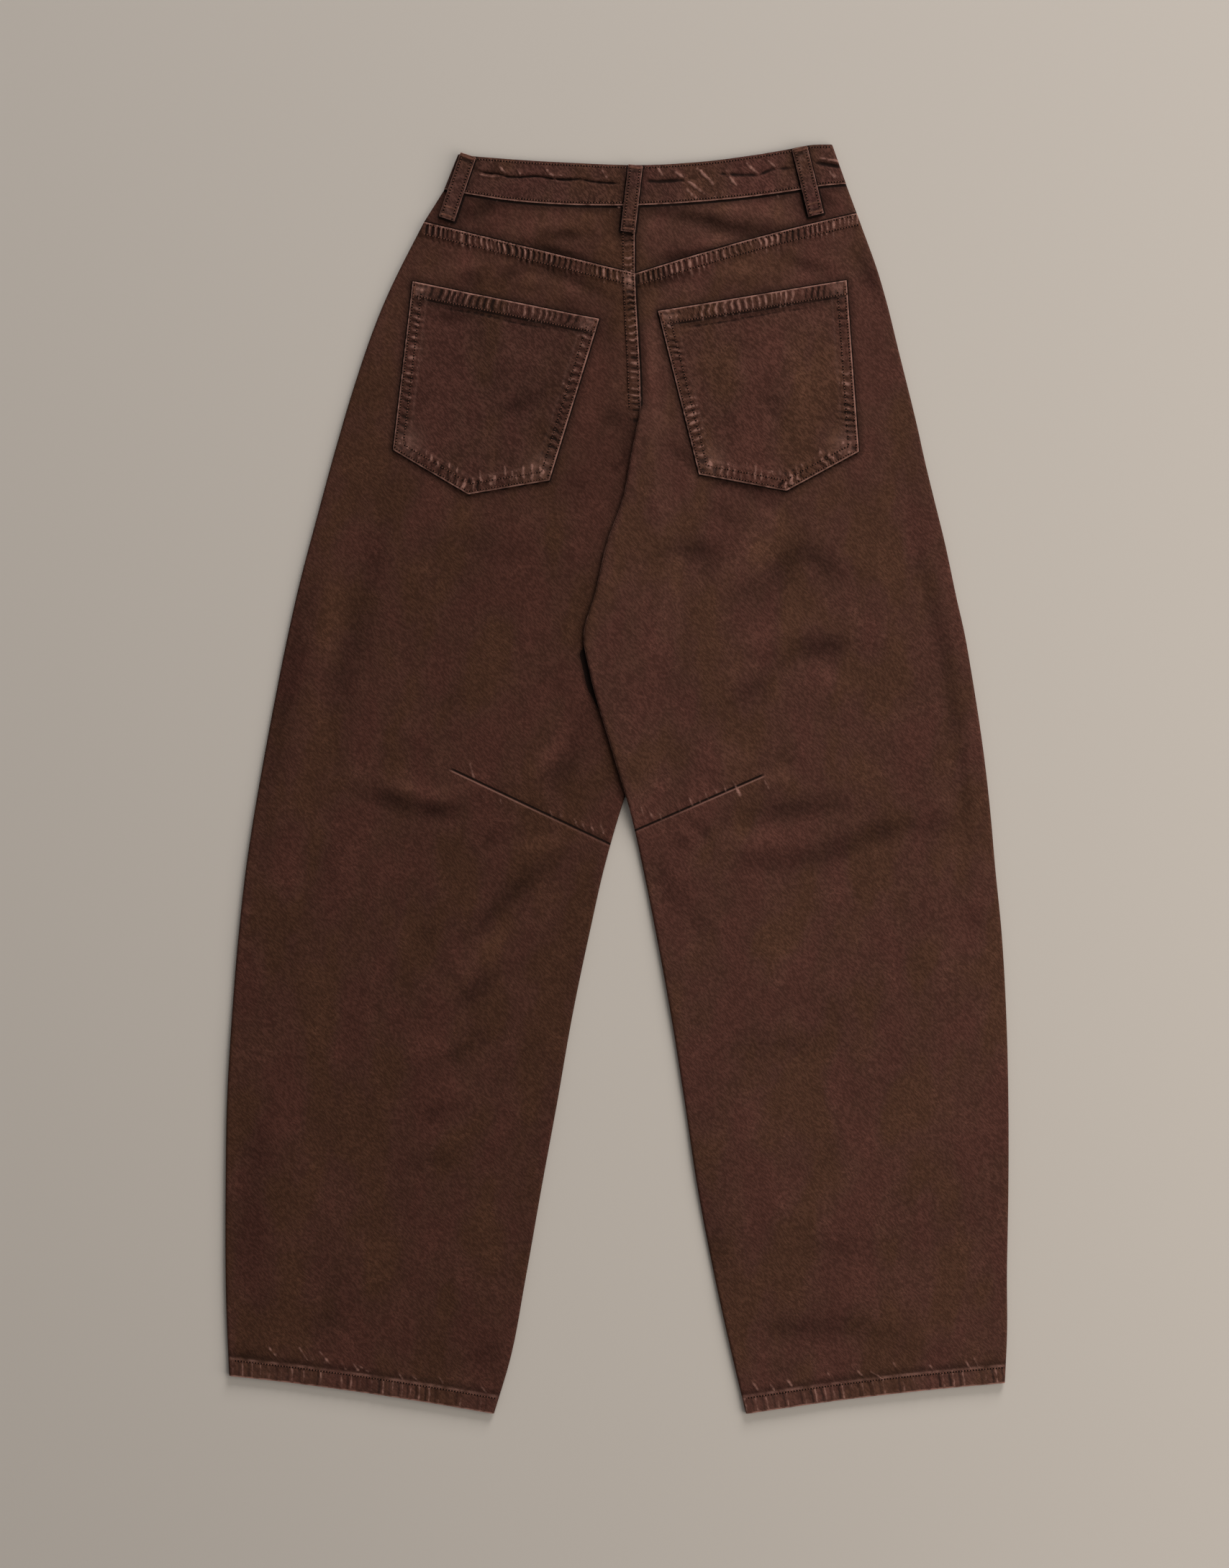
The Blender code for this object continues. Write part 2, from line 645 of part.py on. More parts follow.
def inset(corners, distance):
    """A closed outline moved in by a distance on every side."""
    corners = [np.array(corner) for corner in corners]
    count = len(corners)
    middle = sum(corners) / count
    sides = []
    for a, b in zip(corners, corners[1:] + corners[:1]):
        direction = (b - a) / np.linalg.norm(b - a)
        normal = np.array((-direction[1], direction[0]))
        normal *= math.copysign(1.0, float(normal @ (middle - a)))
        sides.append((a + normal * distance, direction))
    moved = []
    for i in range(count):
        (p, d), (q, e) = sides[i - 1], sides[i]
        reach = ((q[0] - p[0]) * e[1] - (q[1] - p[1]) * e[0]) / (d[0] * e[1] - d[1] * e[0])
        moved.append(p + d * reach)
    return moved


def add_pocket(name, corners, height, material):
    """A patch pocket made from the seat's surface moved out, thicker at its turned edges."""
    loops = (
        (inset(corners, 0.0), SEAM_GAP),
        (inset(corners, 0.0), SEAM_GAP + CLOTH + SEAM_RISE),
        (inset(corners, TURNED_EDGE), SEAM_GAP + CLOTH + SEAM_RISE),
        (inset(corners, TURNED_EDGE + RAMP), SEAM_GAP + CLOTH),
    )
    count = len(corners)
    points = [(x, y, float(height(x, y)) + out) for loop, out in loops for x, y in loop]
    faces = [tuple(range(count)), tuple(range(3 * count, 4 * count))]
    for ring in range(3):
        for i in range(count):
            a, b = ring * count + i, ring * count + (i + 1) % count
            faces.append((a, b, b + count, a + count))
    return add_piece(name, points, faces, material)


def add_loop(name, top, low, width, material):
    """A belt loop: a folded strip over the waistband, sewn down at both ends."""
    top, low = np.array(top), np.array(low)
    run = (low - top) / np.linalg.norm(low - top)
    side = np.array((-run[1], run[0])) * width / 2
    under = BAND_LIE + SEAM_GAP
    upper, inner = [], []
    for i in range(LOOP_STEPS + 1):
        share = i / LOOP_STEPS
        middle = top + share * (low - top)
        arch = LOOP_ARCH * math.sin(math.pi * share)
        ends = (middle - side, middle + side)
        upper.append([(*end, under + arch + LOOP_CLOTH) for end in ends])
        inner.append([(*end, under + arch) for end in ends])
    return add_sheet(name, np.array(upper), np.array(inner), material)


def add_fly(material):
    """The fly piece, flat inside the fronts behind their centre seam, with a round lower corner."""
    top = waist_point(CENTRE_PLACE, 0.0, FRONT_DROP)
    left, right = top[0] - FLY_WIDTH / 2, top[0] + FLY_WIDTH / 2
    outline = [(left, top[1] - FLY_BELOW_BAND), (right, top[1] - FLY_BELOW_BAND)]
    for i in range(FLY_ROUND_STEPS + 1):
        angle = math.pi / 2 * i / FLY_ROUND_STEPS
        x = right - FLY_ROUND + FLY_ROUND * math.cos(angle)
        outline.append((x, FLY_BOTTOM + FLY_ROUND * (1 - math.sin(angle))))
    outline.append((left, FLY_BOTTOM))
    bottom = CLOTH + SEAM_GAP
    return add_prism("fly", outline, bottom, bottom + CLOTH, material)


def circle(centre, radius, count=32):
    """Points round a circle."""
    angles = [2 * math.pi * i / count for i in range(count)]
    return [(centre[0] + radius * math.cos(a), centre[1] + radius * math.sin(a)) for a in angles]


def add_button(band, material):
    """The waist button, flush in the front of the waistband, whose cloth gives way round it."""
    middle = waist_point(CENTRE_PLACE, 0.5, FRONT_DROP) - np.array((BUTTON_FROM_CENTRE, 0.0))
    recess = circle(middle, BUTTON_RADIUS + SEAM_GAP)
    cutter = add_prism("button_recess_cutter", recess, -1.0, BUTTON_DEPTH + SEAM_GAP, material)
    cut(band, cutter)
    return add_prism("fly_button", circle(middle, BUTTON_RADIUS), 0.0, BUTTON_DEPTH, material)


def cut_dart(panel, name, tip, inseam, height, relief, material):
    """Cut a dart's sewn line into a back leg as a groove that narrows towards its tip."""
    tip, inseam = np.array(tip), np.array(inseam)
    run = (inseam - tip) / np.linalg.norm(inseam - tip)
    side = np.array((-run[1], run[0]))
    points = []
    for i in range(DART_STEPS + 1):
        share = i / DART_STEPS
        middle = tip + share * (inseam - tip)
        half = DART_WIDTH / 2 * (DART_TIP_SHARE + (1 - DART_TIP_SHARE) * share)
        for across, up in ((0.0, -DART_DEPTH), (half, CLOTH), (-half, CLOTH)):
            place = middle + side * across
            points.append((*place, float(height(*middle) + relief(*middle)) + up))
    faces = [(0, 1, 2), tuple(3 * DART_STEPS + i for i in range(3))]
    for i in range(DART_STEPS):
        for a, b in ((0, 1), (1, 2), (2, 0)):
            faces.append((3 * i + a, 3 * i + b, 3 * i + b + 3, 3 * i + a + 3))
    cut(panel, add_piece(name, points, faces, material))


def clear_scene():
    for thing in list(bpy.data.objects):
        bpy.data.objects.remove(thing, do_unlink=True)


def build():
    clear_scene()
    left_cloth = finish("denim_back_left", 62, 39, 32, 0.9)
    right_cloth = finish("denim_back_right", 70, 44, 36, 0.9)
    front_cloth = finish("denim_front", 66, 42, 34, 0.9)
    pocket_cloth = finish("denim_pocket", 69, 44, 37, 0.9)
    trim_cloth = finish("denim_trim", 73, 47, 40, 0.9)
    button_metal = finish("button_metal", 120, 96, 72, 0.4, 1.0)

    left_lie, right_lie = (left_back_height, left_folds), (right_back_height, right_folds)
    left_back = add_back_leg("back_leg_left", LEFT_LEG, True, *left_lie, 0.0, left_cloth)
    right_back = add_back_leg(
        "back_leg_right", RIGHT_LEG, False, *right_lie, YOKE_SEAM_BOW, right_cloth
    )
    cut_dart(left_back, "dart_left_cutter", *DART_LEFT, *left_lie, left_cloth)
    cut_dart(right_back, "dart_right_cutter", *DART_RIGHT, *right_lie, right_cloth)

    centre, last = CENTRE_PLACE, len(WAISTBAND) - 1
    add_yoke("yoke_left", LEFT_LEG, True, waist_line(0.0, 0.0, centre, 0.0, 25), 0.0, left_cloth)
    right_waist = waist_line(0.0, centre, last, 0.0, 25)
    add_yoke("yoke_right", RIGHT_LEG, False, right_waist, YOKE_SEAM_BOW, right_cloth)

    side = BAND_RADIUS + SEAM_GAP
    left_top = trimmed(waist_line(0.0, 0.0, centre, FRONT_DROP, 25), side, HALF_GAP)
    right_top = trimmed(waist_line(0.0, centre, last, FRONT_DROP, 25), HALF_GAP, side)
    add_front_leg("front_leg_left", LEFT_LEG, True, left_top, front_cloth)
    add_front_leg("front_leg_right", RIGHT_LEG, False, right_top, front_cloth)

    add_waistband_back(trim_cloth)
    left_band = add_waistband_front("waistband_front_left", 0.0, centre, trim_cloth)
    add_waistband_front("waistband_front_right", centre, last, trim_cloth)

    add_pocket("pocket_left", POCKET_LEFT, left_back_height, pocket_cloth)
    add_pocket("pocket_right", POCKET_RIGHT, right_back_height, pocket_cloth)
    for name, (top, low, width) in LOOPS.items():
        add_loop(name, top, low, width, trim_cloth)
    add_fly(front_cloth)
    add_button(left_band, button_metal)


build()
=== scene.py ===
# %% [markdown]
# # Barrel leg trousers laid flat on their front
#
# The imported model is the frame: it says where each panel lies and how big it is. This script
# dresses it. Each panel of denim is made again as a fine sheet with its turned edges, seams,
# puckers and folds, and gets a washed denim finish. Sizes are in millimetres, as on a pattern,
# and MM turns them into Blender's metres when a mesh is made.

import math
from collections import namedtuple

import bpy
import numpy as np
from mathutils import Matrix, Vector


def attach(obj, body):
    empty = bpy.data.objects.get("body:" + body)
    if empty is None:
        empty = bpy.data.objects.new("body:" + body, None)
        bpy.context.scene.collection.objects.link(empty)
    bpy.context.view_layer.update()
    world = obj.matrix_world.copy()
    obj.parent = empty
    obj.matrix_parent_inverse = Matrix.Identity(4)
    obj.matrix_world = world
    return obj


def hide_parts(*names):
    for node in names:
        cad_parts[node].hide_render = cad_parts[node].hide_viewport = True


MM = 0.001
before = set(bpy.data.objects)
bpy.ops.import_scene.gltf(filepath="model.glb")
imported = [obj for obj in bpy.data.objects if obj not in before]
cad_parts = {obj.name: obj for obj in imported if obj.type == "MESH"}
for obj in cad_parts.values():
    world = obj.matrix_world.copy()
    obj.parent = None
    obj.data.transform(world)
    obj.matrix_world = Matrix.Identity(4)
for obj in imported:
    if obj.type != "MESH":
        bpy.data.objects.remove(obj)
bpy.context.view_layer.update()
print("nodes in the frame:", len(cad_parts))

# %% [markdown]
# ## How the garment lies
#
# Each leg is a list of rows. A row is one line across the leg, from the place on its inner edge
# to the place on its outer edge, and the panels are built on these rows. Above the crotch both
# inner edges are the centre back seam. Below it the right leg folds over and crosses the left.

# %% Sizes of the cloth and of its seams
CLOTH = 1.2  # one layer of denim
BAND_CLOTH = 2.2  # waistband, folded double
LOOP_CLOTH = 1.8  # belt loop, folded in three
SEAM_GAP = 0.3  # space between two pieces at a seam
HALF_GAP = SEAM_GAP / 2
FRONT_SEAM_GAP = 0.45  # the same where the fronts meet the waistband
FELL = 11.5  # width of a felled seam
EDGE_RADIUS = 2.35  # outside radius where a leg turns over at its edge
BAND_RADIUS = 2.5  # the same for the waistband
LIE = 2 * EDGE_RADIUS  # height of the backs' upper face
BAND_LIE = 2 * BAND_RADIUS  # height of the waistband's upper face
LEG_LIFT = 5.1  # the right leg rises this far to lie over the left one
LIFT_RUN = 25.0  # and comes down again over this width
LIFT_TOP = 322.0  # y where it starts to rise, just above the crotch
LIFT_FALL = 32.0  # it has risen fully this far below that
TURN_FALL = 37.0  # and its cut edge has turned into a folded one this far below
FRONT_DROP = 12.0  # the front of the waist sits this much lower than the back
FRONT_TUCK_TOP = 317.0  # y where the left front draws in from the centre seam
FRONT_TUCK_FALL = 14.0  # it has drawn in fully this far below that
FRONT_SWING_FALL = 28.0  # the risen right front swings over the left leg within this

# %% The outline, row by row
LEFT_LEG = (
    # inner_y, inner_x, outer_x, outer_y
    (421.5, 15.0, -161.1, 464.7),
    (394.5, 16.2, -180.3, 427.5),
    (373.5, 17.4, -191.7, 403.5),
    (331.5, 19.5, -210.3, 355.5),
    (317.5, 19.8, -215.6, 339.5),
    (304.0, 20.4, -220.6, 324.0),
    (268.0, 24.3, -232.6, 283.5),
    (205.5, 31.5, -252.3, 211.5),
    (163.5, 33.9, -264.9, 163.5),
    (121.5, 33.3, -275.7, 115.5),
    (73.5, 28.5, -285.3, 67.5),
    (22.5, 19.5, -294.3, 19.5),
    (-25.5, 3.3, -302.7, -28.5),
    (-76.5, -11.1, -309.9, -76.5),
    (-124.5, -21.9, -315.3, -124.5),
    (-196.5, -36.9, -321.3, -196.5),
    (-268.5, -49.5, -325.5, -268.5),
    (-340.5, -62.7, -326.7, -340.5),
    (-415.5, -75.9, -326.7, -412.5),
    (-484.5, -89.1, -325.4, -462.0),
    (-529.5, -102.5, -323.7, -497.7),
)
RIGHT_LEG = (
    # inner_y, inner_x, outer_x, outer_y
    (421.5, 15.0, 200.1, 471.9),
    (394.5, 16.2, 216.3, 427.5),
    (373.5, 17.4, 223.5, 403.5),
    (331.5, 19.5, 235.5, 355.5),
    (317.5, 19.6, 240.6, 335.0),
    (304.0, 18.2, 245.5, 315.5),
    (289.0, 15.3, 250.4, 295.0),
    (266.0, 10.7, 256.8, 266.0),
    (237.0, 5.5, 263.8, 237.0),
    (195.9, -8.9, 273.9, 195.9),
    (154.5, -18.5, 283.2, 152.0),
    (119.1, -28.1, 290.6, 119.0),
    (90.3, -23.3, 295.6, 90.3),
    (21.9, -3.9, 306.3, 19.5),
    (-28.5, 11.1, 311.7, -28.5),
    (-76.5, 21.9, 315.9, -76.5),
    (-124.5, 31.5, 320.7, -124.5),
    (-196.5, 44.7, 324.9, -196.5),
    (-268.5, 56.1, 326.7, -268.5),
    (-340.5, 66.9, 326.7, -340.5),
    (-412.5, 80.7, 325.5, -412.5),
    (-484.5, 96.6, 325.5, -466.0),
    (-529.5, 107.4, 323.7, -503.7),
)
WAISTBAND = (
    # lower_x, lower_y, upper_x, upper_y
    (-144.4, 491.4, -132.7, 520.9),
    (-120.0, 486.8, -112.0, 518.6),
    (-85.0, 481.7, -80.0, 516.2),
    (-40.0, 478.6, -36.0, 513.7),
    (14.8, 478.2, 16.0, 511.9),
    (62.0, 480.6, 62.0, 513.9),
    (105.0, 484.5, 103.0, 518.6),
    (145.0, 489.9, 138.0, 524.2),
    (170.0, 494.1, 162.0, 528.6),
    (191.3, 496.1, 179.6, 529.1),
)
CENTRE_PLACE = 4.0  # the waistband's row number at the centre back
LAST_PLACE = len(WAISTBAND) - 1.0
POCKET_LEFT = ((-170.2, 414.6), (-14.9, 383.3), (-56.3, 248.8), (-124.0, 237.2), (-186.8, 274.3))
POCKET_RIGHT = ((34.2, 389.9), (191.3, 415.7), (201.5, 272.8), (141.1, 240.1), (68.4, 253.9))
LOOPS = {
    # top, lower end, width
    "belt_loop_left": ((-123.9, 519.9), (-142.0, 466.7), 13.5),
    "belt_loop_centre": ((15.4, 511.4), (9.0, 456.0), 12.0),
    "belt_loop_right": ((152.0, 526.0), (165.8, 470.0), 13.0),
}
DART_LEFT = ((-140.7, 9.7), (-10.5, -52.0))
DART_RIGHT = ((123.9, 4.5), (20.5, -40.5))
YOKE_SEAM_BOW = 2.4  # the right yoke seam bows up this much in its middle
SEAM_BOW_RUN = 40.0  # the bow dies away this far below the seam
HEM_BOW = 2.2  # the hems bow up this much
HEM_BOW_RUN = 60.0  # and their bow dies away this far above them
HEM_DEPTH = 14.6  # depth of the turned hem
LEG_TOP, LEG_END = LEFT_LEG[0][0], LEFT_LEG[-1][0]

# %% [markdown]
# Between its measured rows an edge runs on a smooth curve, as the cut edge of cloth does. These
# small helpers read that curve, and give the soft ramps from which the folds are made.


# %% Smooth curves and ramps
def smoothstep(value):
    """0 below 0, 1 above 1, and a soft ramp between."""
    value = np.clip(value, 0.0, 1.0)
    return value * value * (3.0 - 2.0 * value)


def curve(table, column, at):
    """Read one column of a table on a smooth curve, at places along the first column."""
    rows = np.array(sorted(table))
    knots, values = rows[:, 0], rows[:, column]
    slopes = np.gradient(values, knots)
    at = np.clip(at, knots[0], knots[-1])
    left = np.clip(np.searchsorted(knots, at) - 1, 0, len(knots) - 2)
    span = knots[left + 1] - knots[left]
    u = (at - knots[left]) / span
    return (
        (1 + 2 * u) * (1 - u) ** 2 * values[left]
        + u * (1 - u) ** 2 * span * slopes[left]
        + u * u * (3 - 2 * u) * values[left + 1]
        + u * u * (u - 1) * span * slopes[left + 1]
    )


def centre_x(y):
    """The left leg's inner edge, which is the centre seam above the crotch."""
    return curve(LEFT_LEG, 1, y)


def fold_x(y):
    """The right leg's inner edge, which folds over below the crotch."""
    return curve(RIGHT_LEG, 1, y)


def lift(x, y):
    """How far the right leg stands off the floor to lie over the left one."""
    rise = smoothstep((LIFT_TOP - y) / LIFT_FALL)
    return LEG_LIFT * rise * smoothstep((centre_x(y) + LIFT_RUN - x) / LIFT_RUN)


def waist_point(place, share, drop=0.0):
    """Points of the waistband: place runs along it, share from its lower to its upper edge."""
    table = [(float(i), *row) for i, row in enumerate(WAISTBAND)]
    low = np.stack((curve(table, 1, place), curve(table, 2, place)), -1)
    high = np.stack((curve(table, 3, place), curve(table, 4, place)), -1)
    sag = 1 - ((place - LAST_PLACE / 2) / (LAST_PLACE / 2)) ** 2
    fall = np.stack((np.zeros_like(sag), drop * sag), -1)
    return low + np.asarray(share)[..., None] * (high - low) - fall


print("waist across:", round(float(waist_point(LAST_PLACE, 1.0)[0] - waist_point(0.0, 1.0)[0]), 1), "mm")

# %% [markdown]
# ## Puckers, creases and folds
#
# Washed denim puckers along every seam, because the thread shrinks less than the cloth. A pucker
# repeats every 4 to 8 mm, but never evenly, so the wave wanders and changes strength along the
# seam. All random numbers come from a fixed seed, so each run gives the same trousers.


# %% Uneven waves
KNOTS = 4096  # random values along a line before they repeat
BUMPS = 128  # the same each way over a surface


def uneven(run, step, seed):
    """A smooth random value from -1 to 1 that changes about once every step."""
    knots = np.random.default_rng(seed).uniform(-1.0, 1.0, KNOTS)
    place = np.asarray(run) / step + KNOTS // 4
    first = np.floor(place).astype(int)
    share = smoothstep(place - first)
    return knots[first % KNOTS] * (1 - share) + knots[(first + 1) % KNOTS] * share


def ripple(run, spacing, seed):
    """A wave of about that spacing whose phase and strength wander."""
    wander = 0.55 * uneven(run, 2.9 * spacing, seed)
    strength = 0.7 + 0.3 * uneven(run, 1.4 * spacing, seed + 1)
    wave = np.sin(2 * math.pi * (run / spacing + wander))
    slow = uneven(run, 4.1 * spacing, seed + 2)
    return 0.85 * wave * strength + 0.25 * slow


def rumple(x, y, size, seed):
    """Soft random unevenness of laid cloth, from -1 to 1, with bumps of about that size."""
    knots = np.random.default_rng(seed).uniform(-1.0, 1.0, (BUMPS, BUMPS))
    across, down = x / size + BUMPS // 2, y / size + BUMPS // 2
    i, j = np.floor(across).astype(int), np.floor(down).astype(int)
    u, v = smoothstep(across - i), smoothstep(down - j)
    i, j, right, below = i % BUMPS, j % BUMPS, (i + 1) % BUMPS, (j + 1) % BUMPS
    first = knots[i, j] * (1 - u) + knots[right, j] * u
    second = knots[i, below] * (1 - u) + knots[right, below] * u
    return first * (1 - v) + second * v


# %% Distance beside a line
def beside(line, x, y):
    """How far points lie beside a line, above 0 on its left hand, and how far along it."""
    x, y = np.asarray(x, float), np.asarray(y, float)
    nearest = np.full(x.shape, np.inf)
    side, along, run = np.ones(x.shape), np.zeros(x.shape), 0.0
    line = np.asarray(line, float)
    for a, b in zip(line, line[1:]):
        length = math.hypot(*(b - a))
        dx, dy = (b - a) / length
        reach = np.clip((x - a[0]) * dx + (y - a[1]) * dy, 0.0, length)
        off_x, off_y = x - a[0] - reach * dx, y - a[1] - reach * dy
        away = np.hypot(off_x, off_y)
        closer = away < nearest
        nearest = np.where(closer, away, nearest)
        side = np.where(closer, np.where(dx * off_y - dy * off_x >= 0, 1.0, -1.0), side)
        along = np.where(closer, run + reach, along)
        run += length
    return nearest * side, along


def line_length(line):
    """Length of a line of points."""
    return float(np.hypot(*np.diff(np.asarray(line, float), axis=0).T).sum())


# %% [markdown]
# A seam is a line, with a band of doubled cloth on one side of it. The band's puckers cross it
# like the rungs of a ladder, and die away in the single cloth beyond. `ridge` remembers how high
# a place stands on its pucker, because the dye wears off the high places first, and the low
# places are darkened, partly as dye kept there and partly as painted shade.

# %% Seams and their puckers
# side is 1 where the band of doubled cloth lies on the line's left hand, and -1 on its right.
Seam = namedtuple(
    "Seam", "line side band spacing height reach outside slant seed rise", defaults=(8.0, 0.0, 0.0, 0, 0.0)
)
STEP_WIDTH = 1.2  # width of the step at a band's edge
# The wear on the ridges goes with painted shade in the hollows.
PUCKER_WEAR_AND_SHADE = 1.25  # how strongly the puckers take part in the wear


def pucker(seams, x, y):
    """Height and ridge of the puckers along some seams, with the rise of their bands."""
    height, ridge = np.zeros(np.shape(x)), np.zeros(np.shape(x))
    for s in seams:
        across, along = beside(s.line, x, y)
        across = across * s.side
        bend = s.slant * across + 0.22 * s.spacing * uneven(across + 0.13 * along, 4.0, s.seed + 9)
        wave = ripple(along + bend, s.spacing, s.seed)
        strength = 0.85 + 0.15 * uneven(along, 31.0, s.seed + 7)
        inner_reach = s.reach * (1.1 + 0.7 * uneven(along, 5.0, s.seed + 3))
        beyond = 0.5 * (1 - smoothstep((across - s.band) / inner_reach))
        inside = np.where(across <= s.band, 1.0, beyond) * smoothstep(across / 1.6)
        pinch = 1 - 0.7 * np.exp(-(((across - s.band + 1.5) / 1.1) ** 2))
        outer_reach = s.reach * (1.2 + 0.8 * uneven(along, 4.0, s.seed + 5))
        outer = s.outside * (1 - smoothstep(-across / outer_reach)) * smoothstep(-across / STEP_WIDTH)
        share = np.where(across >= 0, inside * pinch, outer) * strength
        height += s.height * wave * share
        height += s.rise * smoothstep((s.band - across) / STEP_WIDTH + 0.5) * (across >= 0)
        ridge += PUCKER_WEAR_AND_SHADE * wave * share
    return height, ridge


SHARP = 2.5  # creases up to this half width are sharp, and end quickly


def crease(creases, x, y):
    """Height and ridge of sharp creases: a ridge where their height is above 0, else a furrow."""
    height, ridge = np.zeros(np.shape(x)), np.zeros(np.shape(x))
    for line, half_width, peak in creases:
        away, along = beside(line, x, y)
        length = line_length(line)
        taper = length * (0.4 if half_width > SHARP else 0.18)
        ends = smoothstep(along / taper) * smoothstep((length - along) / taper)
        wander = 0.8 + 0.2 * uneven(along, 2.5 * half_width, 83)
        profile = np.exp(-((away / half_width) ** 2)) * (0.25 + 0.75 * ends) * wander
        height += peak * profile
        ridge += np.clip(peak, -1.0, 1.0) * profile
    return height, ridge


def outline(corners):
    """A closed line round some corners."""
    return np.array((*corners, corners[0]), float)


FAR = 50.0  # a distance at which a line no longer matters


def nearest_line(lines, x, y):
    """Distance to the nearest of some lines."""
    nearest = np.full(np.shape(x), FAR)
    for line in lines:
        nearest = np.minimum(nearest, np.abs(beside(line, x, y)[0]))
    return nearest


# %% [markdown]
# The folds are where the cloth was pushed together when the garment was laid down. Each one is a
# soft crest or furrow along a line, read from the light and dark of the photograph. Light comes
# from above the waist, so a crest is bright on its upper flank and a furrow is dark there, and
# the relief is set that much lower than the line that was read.

# %% Folds of the left leg
# Each crest is also painted lighter and each furrow darker along the line that was read: painted light and
# shade.
LEFT_FOLDS = (
    # line, half width, height: a crest above 0, a furrow below
    (((-228, -6), (-205, -10), (-190, -18), (-165, -24), (-145, -26), (-116, -20)), 7.0, -1.5),
    (((-166, -28), (-142, -26)), 5.0, -0.9),
    (((-218, 5), (-180, -4), (-150, -13), (-128, -9), (-113, -2)), 7.0, 1.2),
    (((-120, -56), (-105, -48), (-90, -41)), 6.0, -1.0),
    (((-104, -63), (-80, -56), (-52, -51), (-34, -50)), 6.0, 1.1),
    (((-38, -60), (-50, -69), (-75, -84), (-98, -103), (-112, -119), (-127, -133)), 8.0, -1.7),
    (((-68, -104), (-85, -120), (-105, -137), (-125, -156), (-141, -176)), 9.0, 1.2),
    (((-106, -92), (-121, -116)), 7.0, 0.9),
    (((-94, -157), (-112, -168), (-125, -181), (-139, -192)), 7.0, -1.4),
    (((-88, -182), (-70, -176)), 9.0, 0.5),
    (((-100, -211), (-118, -216), (-130, -226), (-152, -238)), 6.5, -1.3),
    (((-136, -210), (-156, -222), (-176, -226)), 9.0, 0.6),
    (((-136, -269), (-150, -278), (-168, -283)), 6.5, -1.0),
    (((-112, -262), (-135, -258), (-160, -268)), 9.0, 0.6),
    (((-130, -311), (-148, -316), (-165, -320), (-184, -323)), 7.0, -0.9),
    (((-38, 48), (-50, 28), (-62, 15), (-82, 4)), 6.0, 1.5),
    (((-30, 56), (-36, 32), (-48, 6), (-60, -14)), 9.0, -1.3),
    (((-190, 240), (-200, 200), (-207, 160), (-215, 130), (-230, 80), (-236, 25)), 9.0, -1.2),
    (((-250, 200), (-262, 140), (-273, 95), (-284, 40), (-293, -20), (-297, -70)), 8.0, -1.2),
    (((-226, 200), (-238, 145), (-250, 90), (-256, 50)), 9.0, 0.8),
    (((-238, -40), (-240, -75), (-236, -100)), 8.0, -0.7),
    (((-150, -128), (-168, -128)), 7.0, -0.7),
    (((-80, 192), (-112, 196), (-140, 202)), 9.0, -0.7),
    (((-120, 62), (-150, 72)), 9.0, -0.6),
    (((-300, -240), (-303, -330), (-308, -400), (-300, -455)), 11.0, -0.9),
    (((-238, -478), (-248, -456), (-228, -436)), 9.0, -1.0),
    (((-96, -472), (-112, -480), (-128, -487)), 6.0, -0.9),
    (((-322, -478), (-296, -481)), 5.0, -1.2),
    (((-180, -388), (-230, -396)), 12.0, 0.6),
    (((-196, -184), (-206, -192)), 7.0, -0.7),
    # above the pocket, where the seat is crumpled
    (((-82, 429), (-60, 426), (-40, 420), (-20, 410), (-4, 401)), 4.5, -1.5),
    (((-101, 401), (-98, 412), (-90, 422), (-76, 429)), 4.0, -1.2),
    (((-88, 412), (-75, 419), (-58, 414)), 5.0, 1.1),
    (((-130, 410), (-119, 416), (-108, 419)), 6.5, -1.3),
    (((-156, 414), (-141, 425), (-120, 431), (-98, 431)), 6.0, 1.2),
    (((-62, 402), (-46, 407), (-34, 411)), 5.0, 0.9),
    (((-46, 395), (-32, 391)), 5.0, -1.1),
    (((-6, 396), (-10, 372), (-9, 350)), 5.0, -0.8),
    (((-34, 344), (-12, 345)), 7.0, 1.0),
    (((-36, 299), (-16, 309)), 7.0, 0.9),
    (((-14, 303), (-2, 301), (8, 296)), 6.0, -1.5),
    (((11, 298), (8, 276), (5, 255)), 5.0, -1.5),
    (((-7, 263), (4, 260)), 4.5, -1.1),
    (((-42, 252), (-24, 241)), 9.0, -0.7),
)

